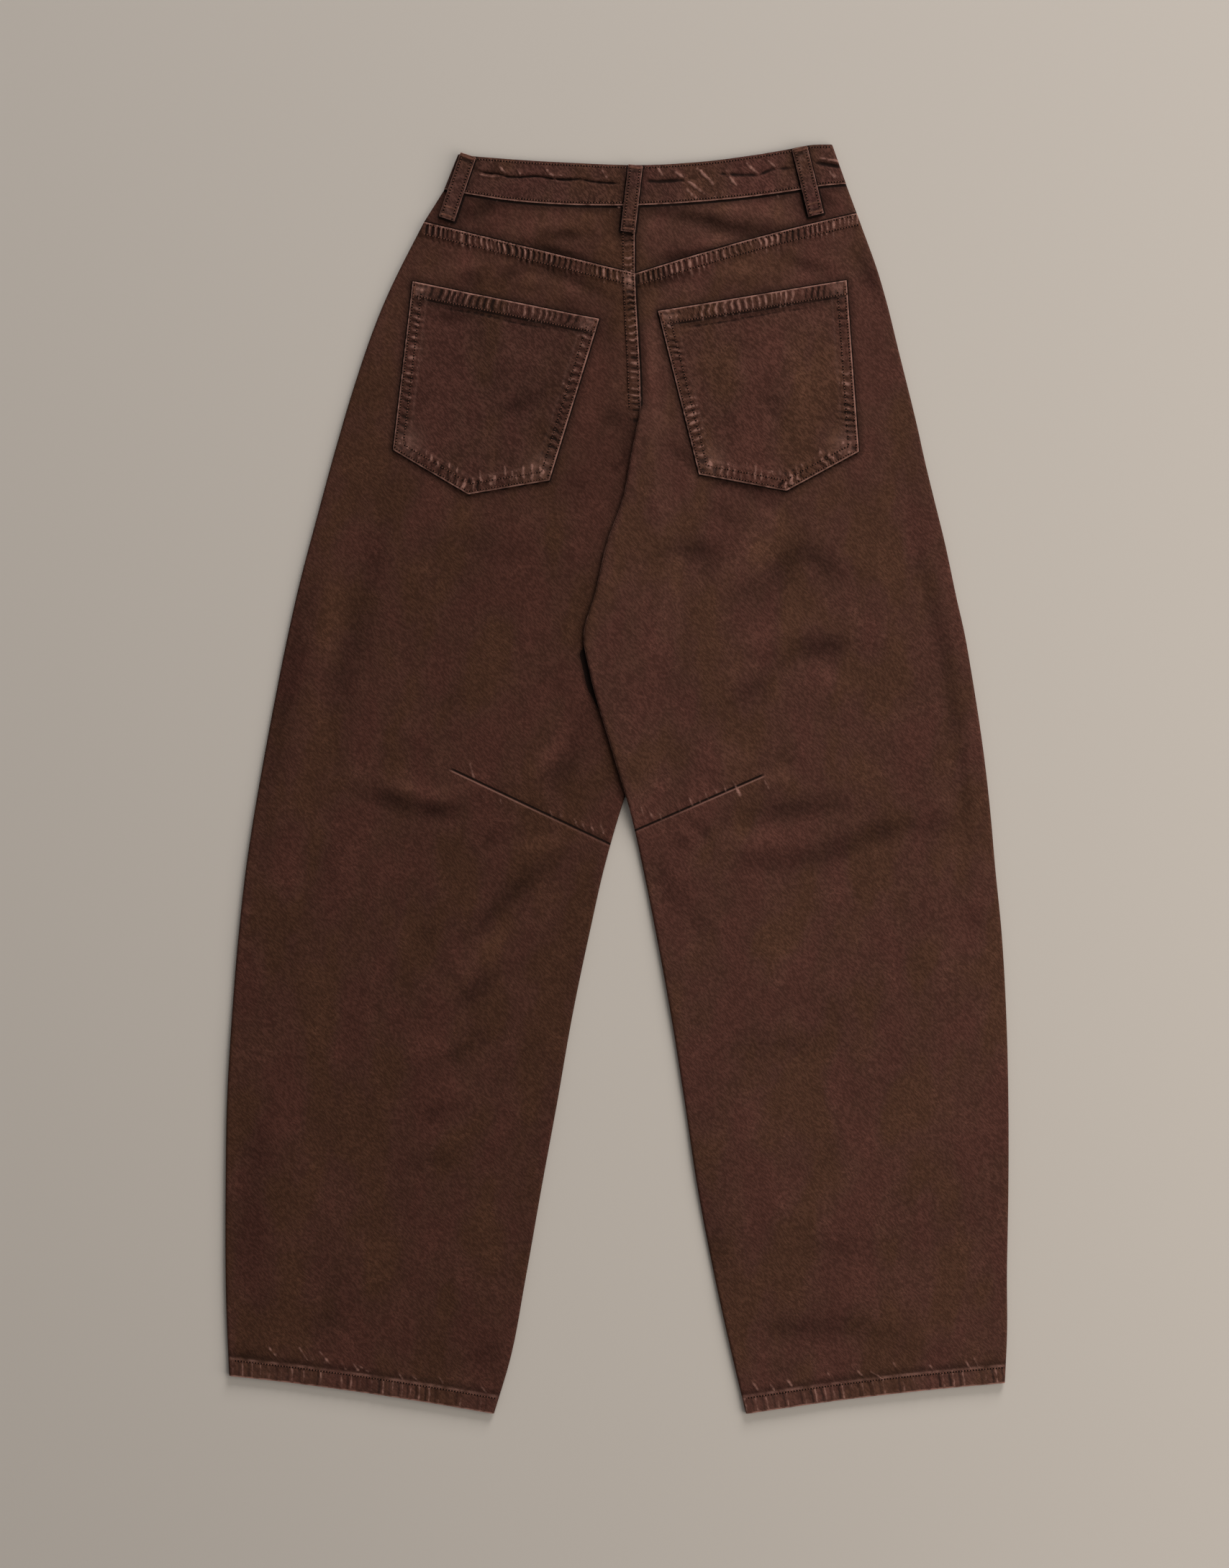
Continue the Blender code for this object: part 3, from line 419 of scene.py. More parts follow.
# %% Folds of the right leg
RIGHT_FOLDS = (
    # line, half width, height
    (((20, 185), (38, 190), (50, 192), (72, 191), (96, 187)), 8.0, -1.5),
    (((70, 180), (82, 167)), 7.0, -0.8),
    (((136, 232), (128, 208), (115, 192), (104, 178), (88, 158)), 9.0, 1.3),
    (
        ((100, 154), (120, 158), (132, 166), (142, 181), (156, 190), (170, 180), (184, 172), (202, 172)),
        8.0, -1.5,
    ),
    (((98, 118), (120, 120), (140, 128), (162, 136)), 9.0, 1.2),
    (((126, 90), (134, 97), (150, 106), (175, 111), (212, 111)), 8.0, -1.6),
    (((90, 100), (95, 90), (110, 84)), 8.0, 0.8),
    (((82, 58), (100, 66), (115, 76), (129, 89)), 7.0, -1.2),
    (((160, 90), (176, 82), (198, 79)), 9.0, 1.0),
    (((38, 36), (40, 70), (46, 100), (48, 132)), 9.0, -0.9),
    (((80, 220), (100, 222)), 9.0, -1.0),
    (((104, 241), (125, 233), (142, 228)), 5.5, -1.2),
    (((76, 22), (95, 20), (116, 31)), 10.0, 1.1),
    (((114, 0), (130, 2), (146, 5)), 4.5, 1.2),
    (((134, 13), (148, 22)), 5.0, -0.7),
    (((94, -30), (125, -28), (155, -24), (180, -20), (202, -17)), 8.0, -1.8),
    (((58, -31), (68, -39), (77, -49)), 4.5, -1.3),
    (((98, -51), (120, -48), (142, -45)), 7.0, 0.9),
    (((50, -48), (56, -58)), 7.0, -1.0),
    (
        (
            (78, -62), (110, -66), (140, -70), (165, -64), (185, -58),
            (210, -46), (236, -40), (264, -38), (290, -45),
        ),
        8.0, -1.5,
    ),
    (((24, -58), (35, -80), (50, -98), (62, -106)), 9.0, -1.2),
    (((64, -112), (76, -132)), 8.0, -0.8),
    (
        (
            (240, 252), (248, 215), (252, 180), (262, 150), (272, 110),
            (280, 60), (286, 20), (290, -20), (296, -80),
        ),
        6.0, -1.2,
    ),
    (((266, -10), (280, -26)), 6.0, 0.9),
    (((297, -106), (298, -128)), 6.0, -0.9),
    (((98, -217), (125, -221), (152, -222), (182, -214)), 8.0, -0.9),
    (((168, -190), (192, -195)), 8.0, -0.6),
    (((58, -272), (74, -282), (92, -290)), 9.0, -0.7),
    (((62, -330), (76, -380), (92, -432)), 11.0, -1.0),
    (((88, -449), (130, -458), (200, -455), (238, -466)), 9.0, -1.0),
    (((138, -384), (180, -390), (222, -387)), 9.0, -0.6),
    (((150, -345), (200, -340)), 12.0, 0.6),
    (((120, -160), (170, -150)), 14.0, 0.6),
    # the seat
    (((18, 402), (28, 412), (45, 418), (72, 424)), 4.5, -1.8),
    (((133, 441), (145, 434), (160, 428), (180, 423)), 4.5, -1.4),
    (((70, 417), (100, 425), (126, 426)), 6.0, 1.0),
    (((196, 452), (205, 430), (215, 408), (222, 394)), 6.0, -1.3),
    (((27, 396), (27, 370), (28, 340), (27, 305)), 5.0, 1.2),
    (((30, 281), (46, 276), (56, 268), (70, 258)), 4.5, -1.1),
    (((68, 249), (100, 246), (132, 238)), 4.0, -1.2),
    (((88, 362), (100, 364), (116, 366)), 7.0, -1.1),
    (((114, 346), (124, 326), (132, 306), (143, 284)), 5.5, -1.2),
    (((92, 334), (110, 340), (126, 351)), 6.0, 0.9),
    (((140, 347), (150, 336), (146, 318)), 7.0, 0.8),
    (((84, 300), (102, 301)), 9.0, -0.8),
)
POCKET_FOLDS = (
    # on the left pocket
    (((-112, 307), (-85, 311), (-68, 318), (-49, 331)), 6.5, -1.2),
    (((-102, 352), (-80, 356), (-58, 352)), 8.0, 0.9),
    (((-152, 387), (-136, 385), (-120, 388)), 5.5, -1.3),
    (((-140, 300), (-128, 280)), 9.0, 0.5),
)
DEEPEST = 1.9  # cloth can sink this far before it meets the layer under it
LIGHT_FLANK = 0.7  # a fold's relief lies this share of its half width below the line that was read
SOFTER = 1.22  # the folds are this much wider than they were read
FULLNESS = 1.1  # and this much higher


def folds(table, x, y):
    """Height of some folds, and their painted light and shade: lighter on crests, darker in furrows."""
    soft = [(line, SOFTER * w, peak) for line, w, peak in table]
    lowered = [(np.asarray(line, float) - (0.0, LIGHT_FLANK * w), w, peak) for line, w, peak in soft]
    return FULLNESS * crease(lowered, x, y)[0], crease(soft, x, y)[0]


def resting(height):
    """The height of cloth that stops where it meets the layer under it."""
    return np.where(height < 0, -DEEPEST * np.tanh(-height / DEEPEST), height)


def laid_unevenly(x, y, seed):
    """The slight unevenness of cloth that was smoothed by hand."""
    broad = 0.34 * rumple(x, y, 46.0, seed) + 0.17 * rumple(x, y, 19.0, seed + 1)
    streaks = 0.07 * rumple(3.0 * x, 0.7 * y, 13.0, seed + 2)
    return broad + streaks


# %% [markdown]
# ## Sheets of cloth
#
# A panel is a fine grid of points on its rows. At a turned edge the grid runs round a half
# circle, down to the floor. The side that nobody sees is a coarser grid one wall further in, and
# a rim closes the two, so each panel is a closed piece of cloth with a real thickness.

# %% Points of a laid panel
Rows = namedtuple("Rows", "start end bow turn_start turn_end")


def turned(from_edge, turn, radius):
    """Distance in from the outline, drop, and angle of points at some distances from an edge."""
    from_edge, turn = from_edge[None, :], turn[:, None]
    reach = radius * np.sin(np.minimum(turn, math.pi / 2))
    angle = np.maximum(turn - from_edge / radius, 0.0)
    flat = np.maximum(from_edge - radius * turn, 0.0)
    return reach - radius * np.sin(angle) + flat, radius * (1 - np.cos(angle)), angle


def laid_grid(rows, start_columns, end_columns, middle, radius):
    """Places in plan, drop and turn of a panel's grid, and the direction of its rows."""
    across = rows.end - rows.start
    width = np.hypot(across[:, 0], across[:, 1])[:, None]
    near, near_drop, near_turn = turned(start_columns, rows.turn_start, radius)
    far, far_drop, far_turn = turned(end_columns, rows.turn_end, radius)
    share = np.linspace(0.0, 1.0, middle + 2)[None, 1:-1]
    between = near[:, -1:] + share * (width - far[:, -1:] - near[:, -1:])
    flat = np.zeros_like(between)
    along = np.hstack((near, between, width - far[:, ::-1])) / width
    drop = np.hstack((near_drop, flat, far_drop[:, ::-1]))
    turn = np.hstack((near_turn, flat, -far_turn[:, ::-1]))
    x = rows.start[:, :1] + along * across[:, :1]
    y = rows.start[:, 1:] + along * across[:, 1:] + rows.bow[:, None] * 4 * along * (1 - along)
    return x, y, drop, turn, across / width


def stops(count, step, keep=()):
    """Every step-th number below count, with its ends and some others kept."""
    return sorted(set(range(0, count, step)) | {count - 1} | set(keep))


# %% A closed piece of cloth from its two faces
def rim_faces(outer, inner, places):
    """Faces between a fine edge and a coarse one, whose points stand at places of the fine."""
    faces = []
    for j in range(len(places) - 1):
        first, last = places[j], places[j + 1]
        middle = (first + last) // 2
        faces += [(outer[i + 1], outer[i], inner[j]) for i in range(first, middle)]
        faces.append((outer[middle], inner[j], inner[j + 1]))
        faces += [(outer[i + 1], outer[i], inner[j + 1]) for i in range(middle, last)]
    return faces


def grid_faces(number, flip):
    """Four-sided faces of a grid of point numbers."""
    corners = (number[:-1, :-1], number[1:, :-1], number[1:, 1:], number[:-1, 1:])
    faces = np.stack(corners[::-1] if flip else corners, -1)
    return faces.reshape(-1, 4).tolist()


# What each carried value is where nothing happens
# The distance value for painted shade is FAR where no shade is painted.
CALM = {"ridge": 0.0, "edge": FAR, "painted_shade_distance": FAR, "dart_across": FAR, "dart_share": 0.0, "rub": 0.0, "fold": 0.0}
SHARP_EDGE = math.radians(50)  # faces that meet at more than this show an edge


def cloth_piece(name, upper, inner, row_stops, column_stops, values, material):
    """A closed sheet from its fine upper face and coarse inner face, with named point values."""
    rows, columns = upper.shape[:2]
    fine = np.arange(rows * columns).reshape(rows, columns)
    coarse = fine.size + np.arange(len(row_stops) * len(column_stops))
    coarse = coarse.reshape(len(row_stops), len(column_stops))
    faces = grid_faces(fine, False) + grid_faces(coarse, True)
    last_row, last_column = rows - 1, columns - 1
    back_rows = [last_row - r for r in row_stops[::-1]]
    back_columns = [last_column - c for c in column_stops[::-1]]
    faces += rim_faces(fine[:, 0], coarse[:, 0], row_stops)
    faces += rim_faces(fine[-1], coarse[-1], column_stops)
    faces += rim_faces(fine[::-1, -1], coarse[::-1, -1], back_rows)
    faces += rim_faces(fine[0, ::-1], coarse[0, ::-1], back_columns)
    points = np.concatenate((upper.reshape(-1, 3), inner.reshape(-1, 3))) * MM
    mesh = bpy.data.meshes.new(name)
    mesh.from_pydata(points, [], faces)
    for key, value in values.items():
        both = np.concatenate((value.ravel(), np.full(coarse.size, CALM[key])))
        mesh.attributes.new(key, "FLOAT", "POINT").data.foreach_set("value", both)
    mesh.shade_smooth()
    mesh.set_sharp_from_angle(angle=SHARP_EDGE)
    piece = bpy.data.objects.new(name, mesh)
    piece.data.materials.append(material)
    bpy.context.collection.objects.link(piece)
    print(name, "faces:", len(faces))
    return piece


def sheet_on_grid(name, grid, surface, wall, steps, kept, material):
    """A closed sheet on a grid: its places in plan, drop, turn and the direction of its rows."""
    x, y, drop, turn, direction = grid
    facing = 1 - drop / LIE
    level, height, values = surface(x, y)
    upper = np.stack((x, y, level + facing * height - drop), -1)
    row_stops, column_stops = stops(x.shape[0], steps[0]), stops(x.shape[1], steps[1], kept)
    pick = np.ix_(row_stops, column_stops)
    calm = surface(x[pick], y[pick], False)[1]
    inner_x = x[pick] + direction[row_stops][:, :1] * wall * np.sin(turn[pick])
    inner_y = y[pick] + direction[row_stops][:, 1:] * wall * np.sin(turn[pick])
    inner_z = level[pick] + facing[pick] * calm - drop[pick] - wall * np.cos(turn[pick])
    inner = np.stack((inner_x, inner_y, inner_z), -1)
    return cloth_piece(name, upper, inner, row_stops, column_stops, values, material)


# %% [markdown]
# ## The denim
#
# The cloth is dyed over after weaving and then washed. So the colour rubs off along edges and on
# the ridges of puckers, and stays mottled in between. It is deepest in the hollows, partly as dye
# kept there and partly as painted shade; painted shade also darkens the cloth beside seams,
# pockets and loops and along the darts, and the folds get painted light and shade. Three effects
# are node groups that every denim finish shares: the twill with its flecks, the mottled dye, and
# the wear with the painted shade, which reads the values that the panels carry.


# %% Helpers for node trees
def linear(channel):
    """A colour channel of 0 to 255, as seen, in linear light."""
    value = channel / 255
    return value / 12.92 if value <= 0.04045 else ((value + 0.055) / 1.055) ** 2.4


def tone(red, green, blue):
    """A colour as seen, for a node's socket."""
    return (linear(red), linear(green), linear(blue), 1.0)


def new_group(name, inputs, outputs):
    """An empty shader node group with named sockets."""
    tree = bpy.data.node_groups.new(name, "ShaderNodeTree")
    for label, kind, value in inputs:
        socket = tree.interface.new_socket(label, in_out="INPUT", socket_type=kind)
        socket.default_value = value
    for label, kind in outputs:
        tree.interface.new_socket(label, in_out="OUTPUT", socket_type=kind)
    return tree, tree.nodes.new("NodeGroupInput").outputs, tree.nodes.new("NodeGroupOutput").inputs


def feed(tree, socket, value):
    """Set a socket, or link it where the value is another node's output."""
    if isinstance(value, bpy.types.NodeSocket):
        tree.links.new(value, socket)
    elif value is not None:
        socket.default_value = value


def add_node(tree, kind, fed=None, **settings):
    """A new node's outputs. fed says what feeds its sockets, by name or number."""
    node = tree.nodes.new(kind)
    for key, value in settings.items():
        setattr(node, key, value)
    for socket, value in (fed or {}).items():
        feed(tree, node.inputs[socket], value)
    return node.outputs


def math_node(tree, operation, *values):
    """A Math node from numbers or outputs."""
    return add_node(tree, "ShaderNodeMath", dict(enumerate(values)), operation=operation)[0]


def ramp_node(tree, value, low, high, at_low=0.0, at_high=1.0):
    """A smooth Map Range node: at_low up to low, and at_high from high."""
    fed = dict(enumerate((value, low, high, at_low, at_high)))
    return add_node(tree, "ShaderNodeMapRange", fed, interpolation_type="SMOOTHSTEP")[0]


def mix_node(tree, share, first, second, blend="MIX"):
    """A colour Mix node."""
    fed = {0: share, 6: first, 7: second}
    return add_node(tree, "ShaderNodeMix", fed, data_type="RGBA", blend_type=blend)[2]


def scaled_node(tree, vector, factor):
    """A colour or a vector times a number."""
    return add_node(tree, "ShaderNodeVectorMath", {0: vector, "Scale": factor}, operation="SCALE")[0]


def noise_node(tree, place, scale, detail=2.0, roughness=0.5):
    """A noise texture's value."""
    fed = {"Vector": place, "Scale": scale, "Detail": detail, "Roughness": roughness}
    return add_node(tree, "ShaderNodeTexNoise", fed)[0]


def object_place(tree, stretch=(1.0, 1.0, 1.0), angle=0.0):
    """Object coordinates, turned on the table and then stretched."""
    place = add_node(tree, "ShaderNodeTexCoord")["Object"]
    turned_place = add_node(tree, "ShaderNodeMapping", {"Vector": place, "Rotation": (0.0, 0.0, angle)})[0]
    return add_node(tree, "ShaderNodeVectorMath", {0: turned_place, 1: stretch}, operation="MULTIPLY")[0]


# %% Twill and flecks
TWILL_SLANT = math.radians(50)  # the twill runs down to the right at this angle
WAVE_OF_ONE_MM = math.pi / 10 / MM  # the wave texture's scale for one line in a millimetre


def twill_group():
    """The weave: fine slanting lines, and short pale strokes where the worn yarn shows."""
    inputs = [("Pitch", "NodeSocketFloat", 1.2), ("Fleck size", "NodeSocketFloat", 1.15)]
    outputs = [("Height", "NodeSocketFloat"), ("Fleck", "NodeSocketFloat")]
    tree, given, out = new_group("denim twill", inputs, outputs)
    wave_fed = {
        "Vector": object_place(tree, angle=TWILL_SLANT - math.pi / 2),
        "Scale": math_node(tree, "DIVIDE", WAVE_OF_ONE_MM, given["Pitch"]),
        "Distortion": 1.5,
        "Detail": 2.0,
        "Detail Scale": 1.6,
    }
    wave = add_node(tree, "ShaderNodeTexWave", wave_fed)["Fac"]
    scale = math_node(tree, "DIVIDE", 1 / MM, given["Fleck size"])
    yarn = noise_node(tree, object_place(tree, (0.32, 1.0, 1.0), TWILL_SLANT), scale, 2.0, 0.6)
    speck = noise_node(tree, object_place(tree), math_node(tree, "MULTIPLY", scale, 1.7), 2.0, 0.6)
    crinkle_scale = math_node(tree, "MULTIPLY", scale, 0.3)
    crinkle = noise_node(tree, object_place(tree, (0.55, 1.0, 1.0), 0.6), crinkle_scale, 4.0, 0.65)
    seen = math_node(tree, "MULTIPLY_ADD", speck, 0.2, math_node(tree, "MULTIPLY", yarn, 0.55))
    seen = math_node(tree, "MULTIPLY_ADD", crinkle, 0.25, seen)
    feed(tree, out["Fleck"], ramp_node(tree, seen, 0.42, 0.6))
    height = math_node(tree, "MULTIPLY_ADD", wave, 0.2, math_node(tree, "MULTIPLY", yarn, 0.5))
    feed(tree, out["Height"], math_node(tree, "MULTIPLY_ADD", crinkle, 1.5, height))
    return tree


# %% Mottled dye
CLOTH_TONE = tone(66, 42, 34)  # where a group is given no other
TO_RED = (1.05, 0.965, 1.01, 1.0)  # what turns a patch of the dye redder
TO_GREEN = (0.98, 1.01, 0.86, 1.0)  # and greener


def dye_group():
    """Slow changes of the dye across a panel, lighter and deeper, redder and greener."""
    inputs = [
        ("Cloth", "NodeSocketColor", CLOTH_TONE),
        ("Amount", "NodeSocketFloat", 1.0),
        ("Fleck", "NodeSocketFloat", 0.5),
    ]
    tree, given, out = new_group("mottled dye", inputs, [("Colour", "NodeSocketColor")])
    broad = noise_node(tree, object_place(tree), 9.0, 3.0, 0.55)
    cloudy = noise_node(tree, object_place(tree, (1.0, 0.7, 1.0)), 42.0, 4.0, 0.6)
    streaky = noise_node(tree, object_place(tree, (0.4, 1.0, 1.0), TWILL_SLANT), 140.0, 3.0, 0.6)
    parts = math_node(tree, "MULTIPLY_ADD", cloudy, 0.8, math_node(tree, "MULTIPLY", broad, 0.9))
    parts = math_node(tree, "MULTIPLY_ADD", streaky, 0.45, parts)
    light = ramp_node(tree, parts, 0.72, 1.42, 0.9, 1.1)
    fleck = ramp_node(tree, given["Fleck"], 0.0, 1.0, 0.8, 1.28)
    shade = math_node(tree, "MULTIPLY", light, fleck)
    swing = math_node(tree, "MULTIPLY_ADD", math_node(tree, "SUBTRACT", shade, 1.0), given["Amount"], 1.0)
    wandering = noise_node(tree, object_place(tree, (0.6, 1.0, 1.0), 0.4), 95.0, 3.0, 0.55)
    off_middle = math_node(tree, "ABSOLUTE", math_node(tree, "SUBTRACT", wandering, 0.5))
    hair = ramp_node(tree, off_middle, 0.0, 0.02, 1.0, 0.0)
    hair = math_node(tree, "MULTIPLY", hair, ramp_node(tree, cloudy, 0.46, 0.62))
    swing = math_node(tree, "MULTIPLY_ADD", hair, 0.42, swing)
    colour = scaled_node(tree, given["Cloth"], swing)
    patches = noise_node(tree, object_place(tree, (1.0, 0.5, 1.0), 0.15), 22.0, 2.5, 0.55)
    redder = ramp_node(tree, patches, 0.48, 0.62, 0.0, 1.0)
    greener = ramp_node(tree, patches, 0.38, 0.52, 1.0, 0.0)
    red = mix_node(tree, redder, colour, TO_RED, "MULTIPLY")
    feed(tree, out["Colour"], mix_node(tree, greener, red, TO_GREEN, "MULTIPLY"))
    return tree


# %% Wear and painted shade
LIP_BELOW = 1.7  # the pale lip of a dart lies this far below its line


def wear_and_shade_group():
    """Dye rubbed off along edges and on ridges, hollows darkened partly as kept dye and partly as painted
    shade, painted shade beside seams and along darts, and the painted light and shade of folds.
    """
    inputs = [
        ("Dyed", "NodeSocketColor", CLOTH_TONE),
        ("Rubbed", "NodeSocketColor", tone(138, 101, 90)),
        ("Deep and shaded", "NodeSocketColor", tone(22, 13, 10)),
        ("Edge width", "NodeSocketFloat", 1.0),
        ("Ridge wear", "NodeSocketFloat", 0.5),
        ("Hollow", "NodeSocketFloat", 0.6),
    ]
    outputs = [("Colour", "NodeSocketColor"), ("Groove", "NodeSocketFloat")]
    tree, given, out = new_group("denim wear and painted shade", inputs, outputs)

    def carried(name):
        return add_node(tree, "ShaderNodeAttribute", attribute_name=name)["Fac"]

    patchy = noise_node(tree, object_place(tree), 150.0, 3.0, 0.6)
    grainy = noise_node(tree, object_place(tree), 700.0, 2.0, 0.6)
    both = math_node(tree, "MULTIPLY_ADD", grainy, 0.8, patchy)
    uneven_wear = ramp_node(tree, both, 0.6, 1.05, 0.25, 1.0)
    swing = math_node(tree, "MULTIPLY", math_node(tree, "SUBTRACT", patchy, 0.5), 0.9)
    high = ramp_node(tree, math_node(tree, "ADD", carried("ridge"), swing), 0.22, 0.85)
    high = math_node(tree, "MULTIPLY", math_node(tree, "MULTIPLY", high, given["Ridge wear"]), uneven_wear)
    rub = math_node(tree, "MULTIPLY", carried("rub"), uneven_wear)
    wide = math_node(tree, "MULTIPLY", given["Edge width"], math_node(tree, "ADD", patchy, 0.6))
    line = ramp_node(tree, carried("edge"), math_node(tree, "MULTIPLY", wide, 0.35), wide, 1.0, 0.0)
    line = math_node(tree, "MULTIPLY", line, ramp_node(tree, patchy, 0.3, 0.62, 0.25, 0.95))
    worn = math_node(tree, "MAXIMUM", math_node(tree, "MAXIMUM", high, line), rub)
    # Pucker hollows and crease furrows go towards the deep colour, partly as dye kept in the hollows and partly
    # as painted shade.
    low = ramp_node(tree, math_node(tree, "MULTIPLY", carried("ridge"), -1.0), 0.08, 0.7)
    low = math_node(tree, "MULTIPLY", low, given["Hollow"])
    # Painted shade: a dark line close to the marked lines and a softer painted shade beside it, at seams,
    # pockets, loops, hems and the fold between the legs.
    painted_shade_line = ramp_node(tree, carried("painted_shade_distance"), 0.8, 1.8, 1.0, 0.0)
    shade = ramp_node(tree, carried("painted_shade_distance"), 0.8, 7.0, 0.45, 0.0)
    painted_shade_beside_parts = math_node(tree, "MAXIMUM", painted_shade_line, shade)
    # The dark line of a dart is painted shade in its furrow; its pale lip below is wear.
    across = carried("dart_across")
    share = carried("dart_share")
    sewn = ramp_node(tree, share, 0.0, 0.04)
    dart = ramp_node(tree, math_node(tree, "ABSOLUTE", across), 0.5, 1.15, 1.0, 0.0)
    dart = math_node(tree, "MULTIPLY", dart, sewn)
    off_lip = math_node(tree, "ABSOLUTE", math_node(tree, "ADD", across, LIP_BELOW))
    lip = ramp_node(tree, off_lip, 0.2, 0.9, 0.5, 0.0)
    lip = math_node(tree, "MULTIPLY", lip, ramp_node(tree, share, 0.35, 0.9, 1.0, 0.25))
    worn = math_node(tree, "MAXIMUM", worn, math_node(tree, "MULTIPLY", lip, sewn))
    hollows_and_painted_shade = math_node(tree, "MAXIMUM", math_node(tree, "MAXIMUM", low, painted_shade_beside_parts), dart)
    # Painted light and shade of the folds: lighter on the lit flank of a crest, darker on the shaded flank of a
    # furrow.
    painted_fold_light_and_shade = scaled_node(tree, given["Dyed"], ramp_node(tree, carried("fold"), -2.4, 2.4, 0.55, 1.45))
    hollows_and_shade_mixed = mix_node(tree, hollows_and_painted_shade, painted_fold_light_and_shade, given["Deep and shaded"])
    feed(tree, out["Colour"], mix_node(tree, worn, hollows_and_shade_mixed, given["Rubbed"]))
    feed(tree, out["Groove"], hollows_and_painted_shade)
    return tree


TWILL, DYE, WEAR_AND_SHADE = twill_group(), dye_group(), wear_and_shade_group()
print("node groups:", TWILL.name, "/", DYE.name, "/", WEAR_AND_SHADE.name)


# %% [markdown]
# Each denim finish places the three groups with its own values. Denim is matt, with a little
# sheen from its lint, so the roughness stays high and the twill works through a bump.


# %% Denim finishes
def new_finish(name, **constants):
    """A material, its tree and its shader's sockets, with some constants set on them."""
    material = bpy.data.materials.new(name)
    material.use_nodes = True
    sockets = material.node_tree.nodes["Principled BSDF"].inputs
    for label, value in constants.items():
        sockets[label.replace("_", " ")].default_value = value
    return material, material.node_tree, sockets


def use_group(tree, group, **values):
    """Place a node group in a material."""
    fed = {label.replace("_", " "): value for label, value in values.items()}
    return add_node(tree, "ShaderNodeGroup", fed, node_tree=group)


def denim(name, cloth, mottle=1.0, ridge_wear=0.85, hollow=0.7, edge_width=1.3):
    """A washed denim finish of one colour."""
    material, tree, sockets = new_finish(name, Specular_IOR_Level=0.06)
    weave = use_group(tree, TWILL)
    dyed = use_group(tree, DYE, Cloth=tone(*cloth), Amount=mottle, Fleck=weave["Fleck"])["Colour"]
    wear_and_shade = use_group(tree, WEAR_AND_SHADE, Dyed=dyed, Ridge_wear=ridge_wear, Hollow=hollow, Edge_width=edge_width)
    feed(tree, sockets["Base Color"], wear_and_shade["Colour"])
    feed(tree, sockets["Roughness"], ramp_node(tree, weave["Fleck"], 0.0, 1.0, 0.95, 0.82))
    relief = math_node(tree, "SUBTRACT", weave["Height"], math_node(tree, "MULTIPLY", wear_and_shade["Groove"], 0.8))
    bump = add_node(tree, "ShaderNodeBump", {"Strength": 0.55, "Distance": 0.35 * MM, "Height": relief})
    feed(tree, sockets["Normal"], bump[0])
    return material


# The left pieces take a darker copy of the cloth's tone as painted shade, and the right pieces a lighter copy
# as painted light.
DENIM_LEFT_SHADED = denim("denim_back_left", (63, 39, 31), mottle=1.05, ridge_wear=1.0, hollow=0.95)
DENIM_RIGHT_LIT = denim("denim_back_right", (68, 43, 35), mottle=1.05, ridge_wear=1.0, hollow=0.95)
DENIM_FRONT = denim("denim_front", (64, 41, 33))
# The pockets too: the left one darker as painted shade, the right one lighter as painted light.
DENIM_POCKET_LEFT_SHADED = denim("denim_pocket_left_shaded", (61, 38, 31), mottle=1.3, ridge_wear=0.85, hollow=0.9)
DENIM_POCKET_RIGHT_LIT = denim("denim_pocket_right_lit", (68, 43, 35), mottle=1.3, ridge_wear=0.85, hollow=0.9)
DENIM_TRIM = denim("denim_trim", (68, 43, 36), mottle=1.5, ridge_wear=0.85, hollow=0.95)
DENIM_LOOP = denim("denim_loop", (66, 42, 36), mottle=1.5, ridge_wear=0.7, edge_width=0.8)


# %% Thread and metal
def thread(name, colour, roughness):
    """A thread finish, lightly mottled along its length."""
    material, tree, sockets = new_finish(name, Roughness=roughness, Specular_IOR_Level=0.08)
    light = ramp_node(tree, noise_node(tree, object_place(tree), 260.0, 3.0, 0.6), 0.35, 0.65, 0.7, 1.25)
    feed(tree, sockets["Base Color"], scaled_node(tree, tone(*colour)[:3], light))
    return material


def old_brass(name):
    """Darkened brass, brighter where it is rubbed."""
    material, tree, sockets = new_finish(name, Metallic=1.0)
    share = ramp_node(tree, noise_node(tree, object_place(tree), 400.0, 4.0, 0.6), 0.35, 0.65)
    feed(tree, sockets["Base Color"], mix_node(tree, share, tone(92, 72, 52), tone(140, 112, 82)))
    feed(tree, sockets["Roughness"], ramp_node(tree, share, 0.0, 1.0, 0.5, 0.32))
    return material


THREAD = thread("thread", (100, 66, 54), 0.85)
# Near-black lozenges put in the needle holes: painted shade.
PIT_SHADE = thread("painted_pit_shade_finish", (14, 8, 6), 1.0)
BUTTON_METAL = old_brass("button_metal")

# %% [markdown]
# ## Back legs
#
# The two back legs are most of what shows. Their rows close up at the seams, where the puckers
# are fine, and lie further apart down the leg, where the folds are broad.


# %% Rows of the legs
def places_down(*runs):
    """Row places from (end, spacing) runs, starting at the top of the leg."""
    places = [LEG_TOP]
    for end, spacing in runs:
        count = max(1, round((places[-1] - end) / spacing))
        places += np.linspace(places[-1], end, count + 1)[1:].tolist()
    return np.array(places)


LEG_PLACES = places_down(
    # rows lie close at the seams and beside the darts
    (292.0, 1.15), (240.0, 2.2), (16.0, 3.0), (-58.0, 1.6), (-470.0, 3.2), (LEG_END, 1.15)
)
FRONT_PLACES = places_down((322.0, 8.0), (268.0, 4.0), (-500.0, 8.0), (LEG_END, 3.0))


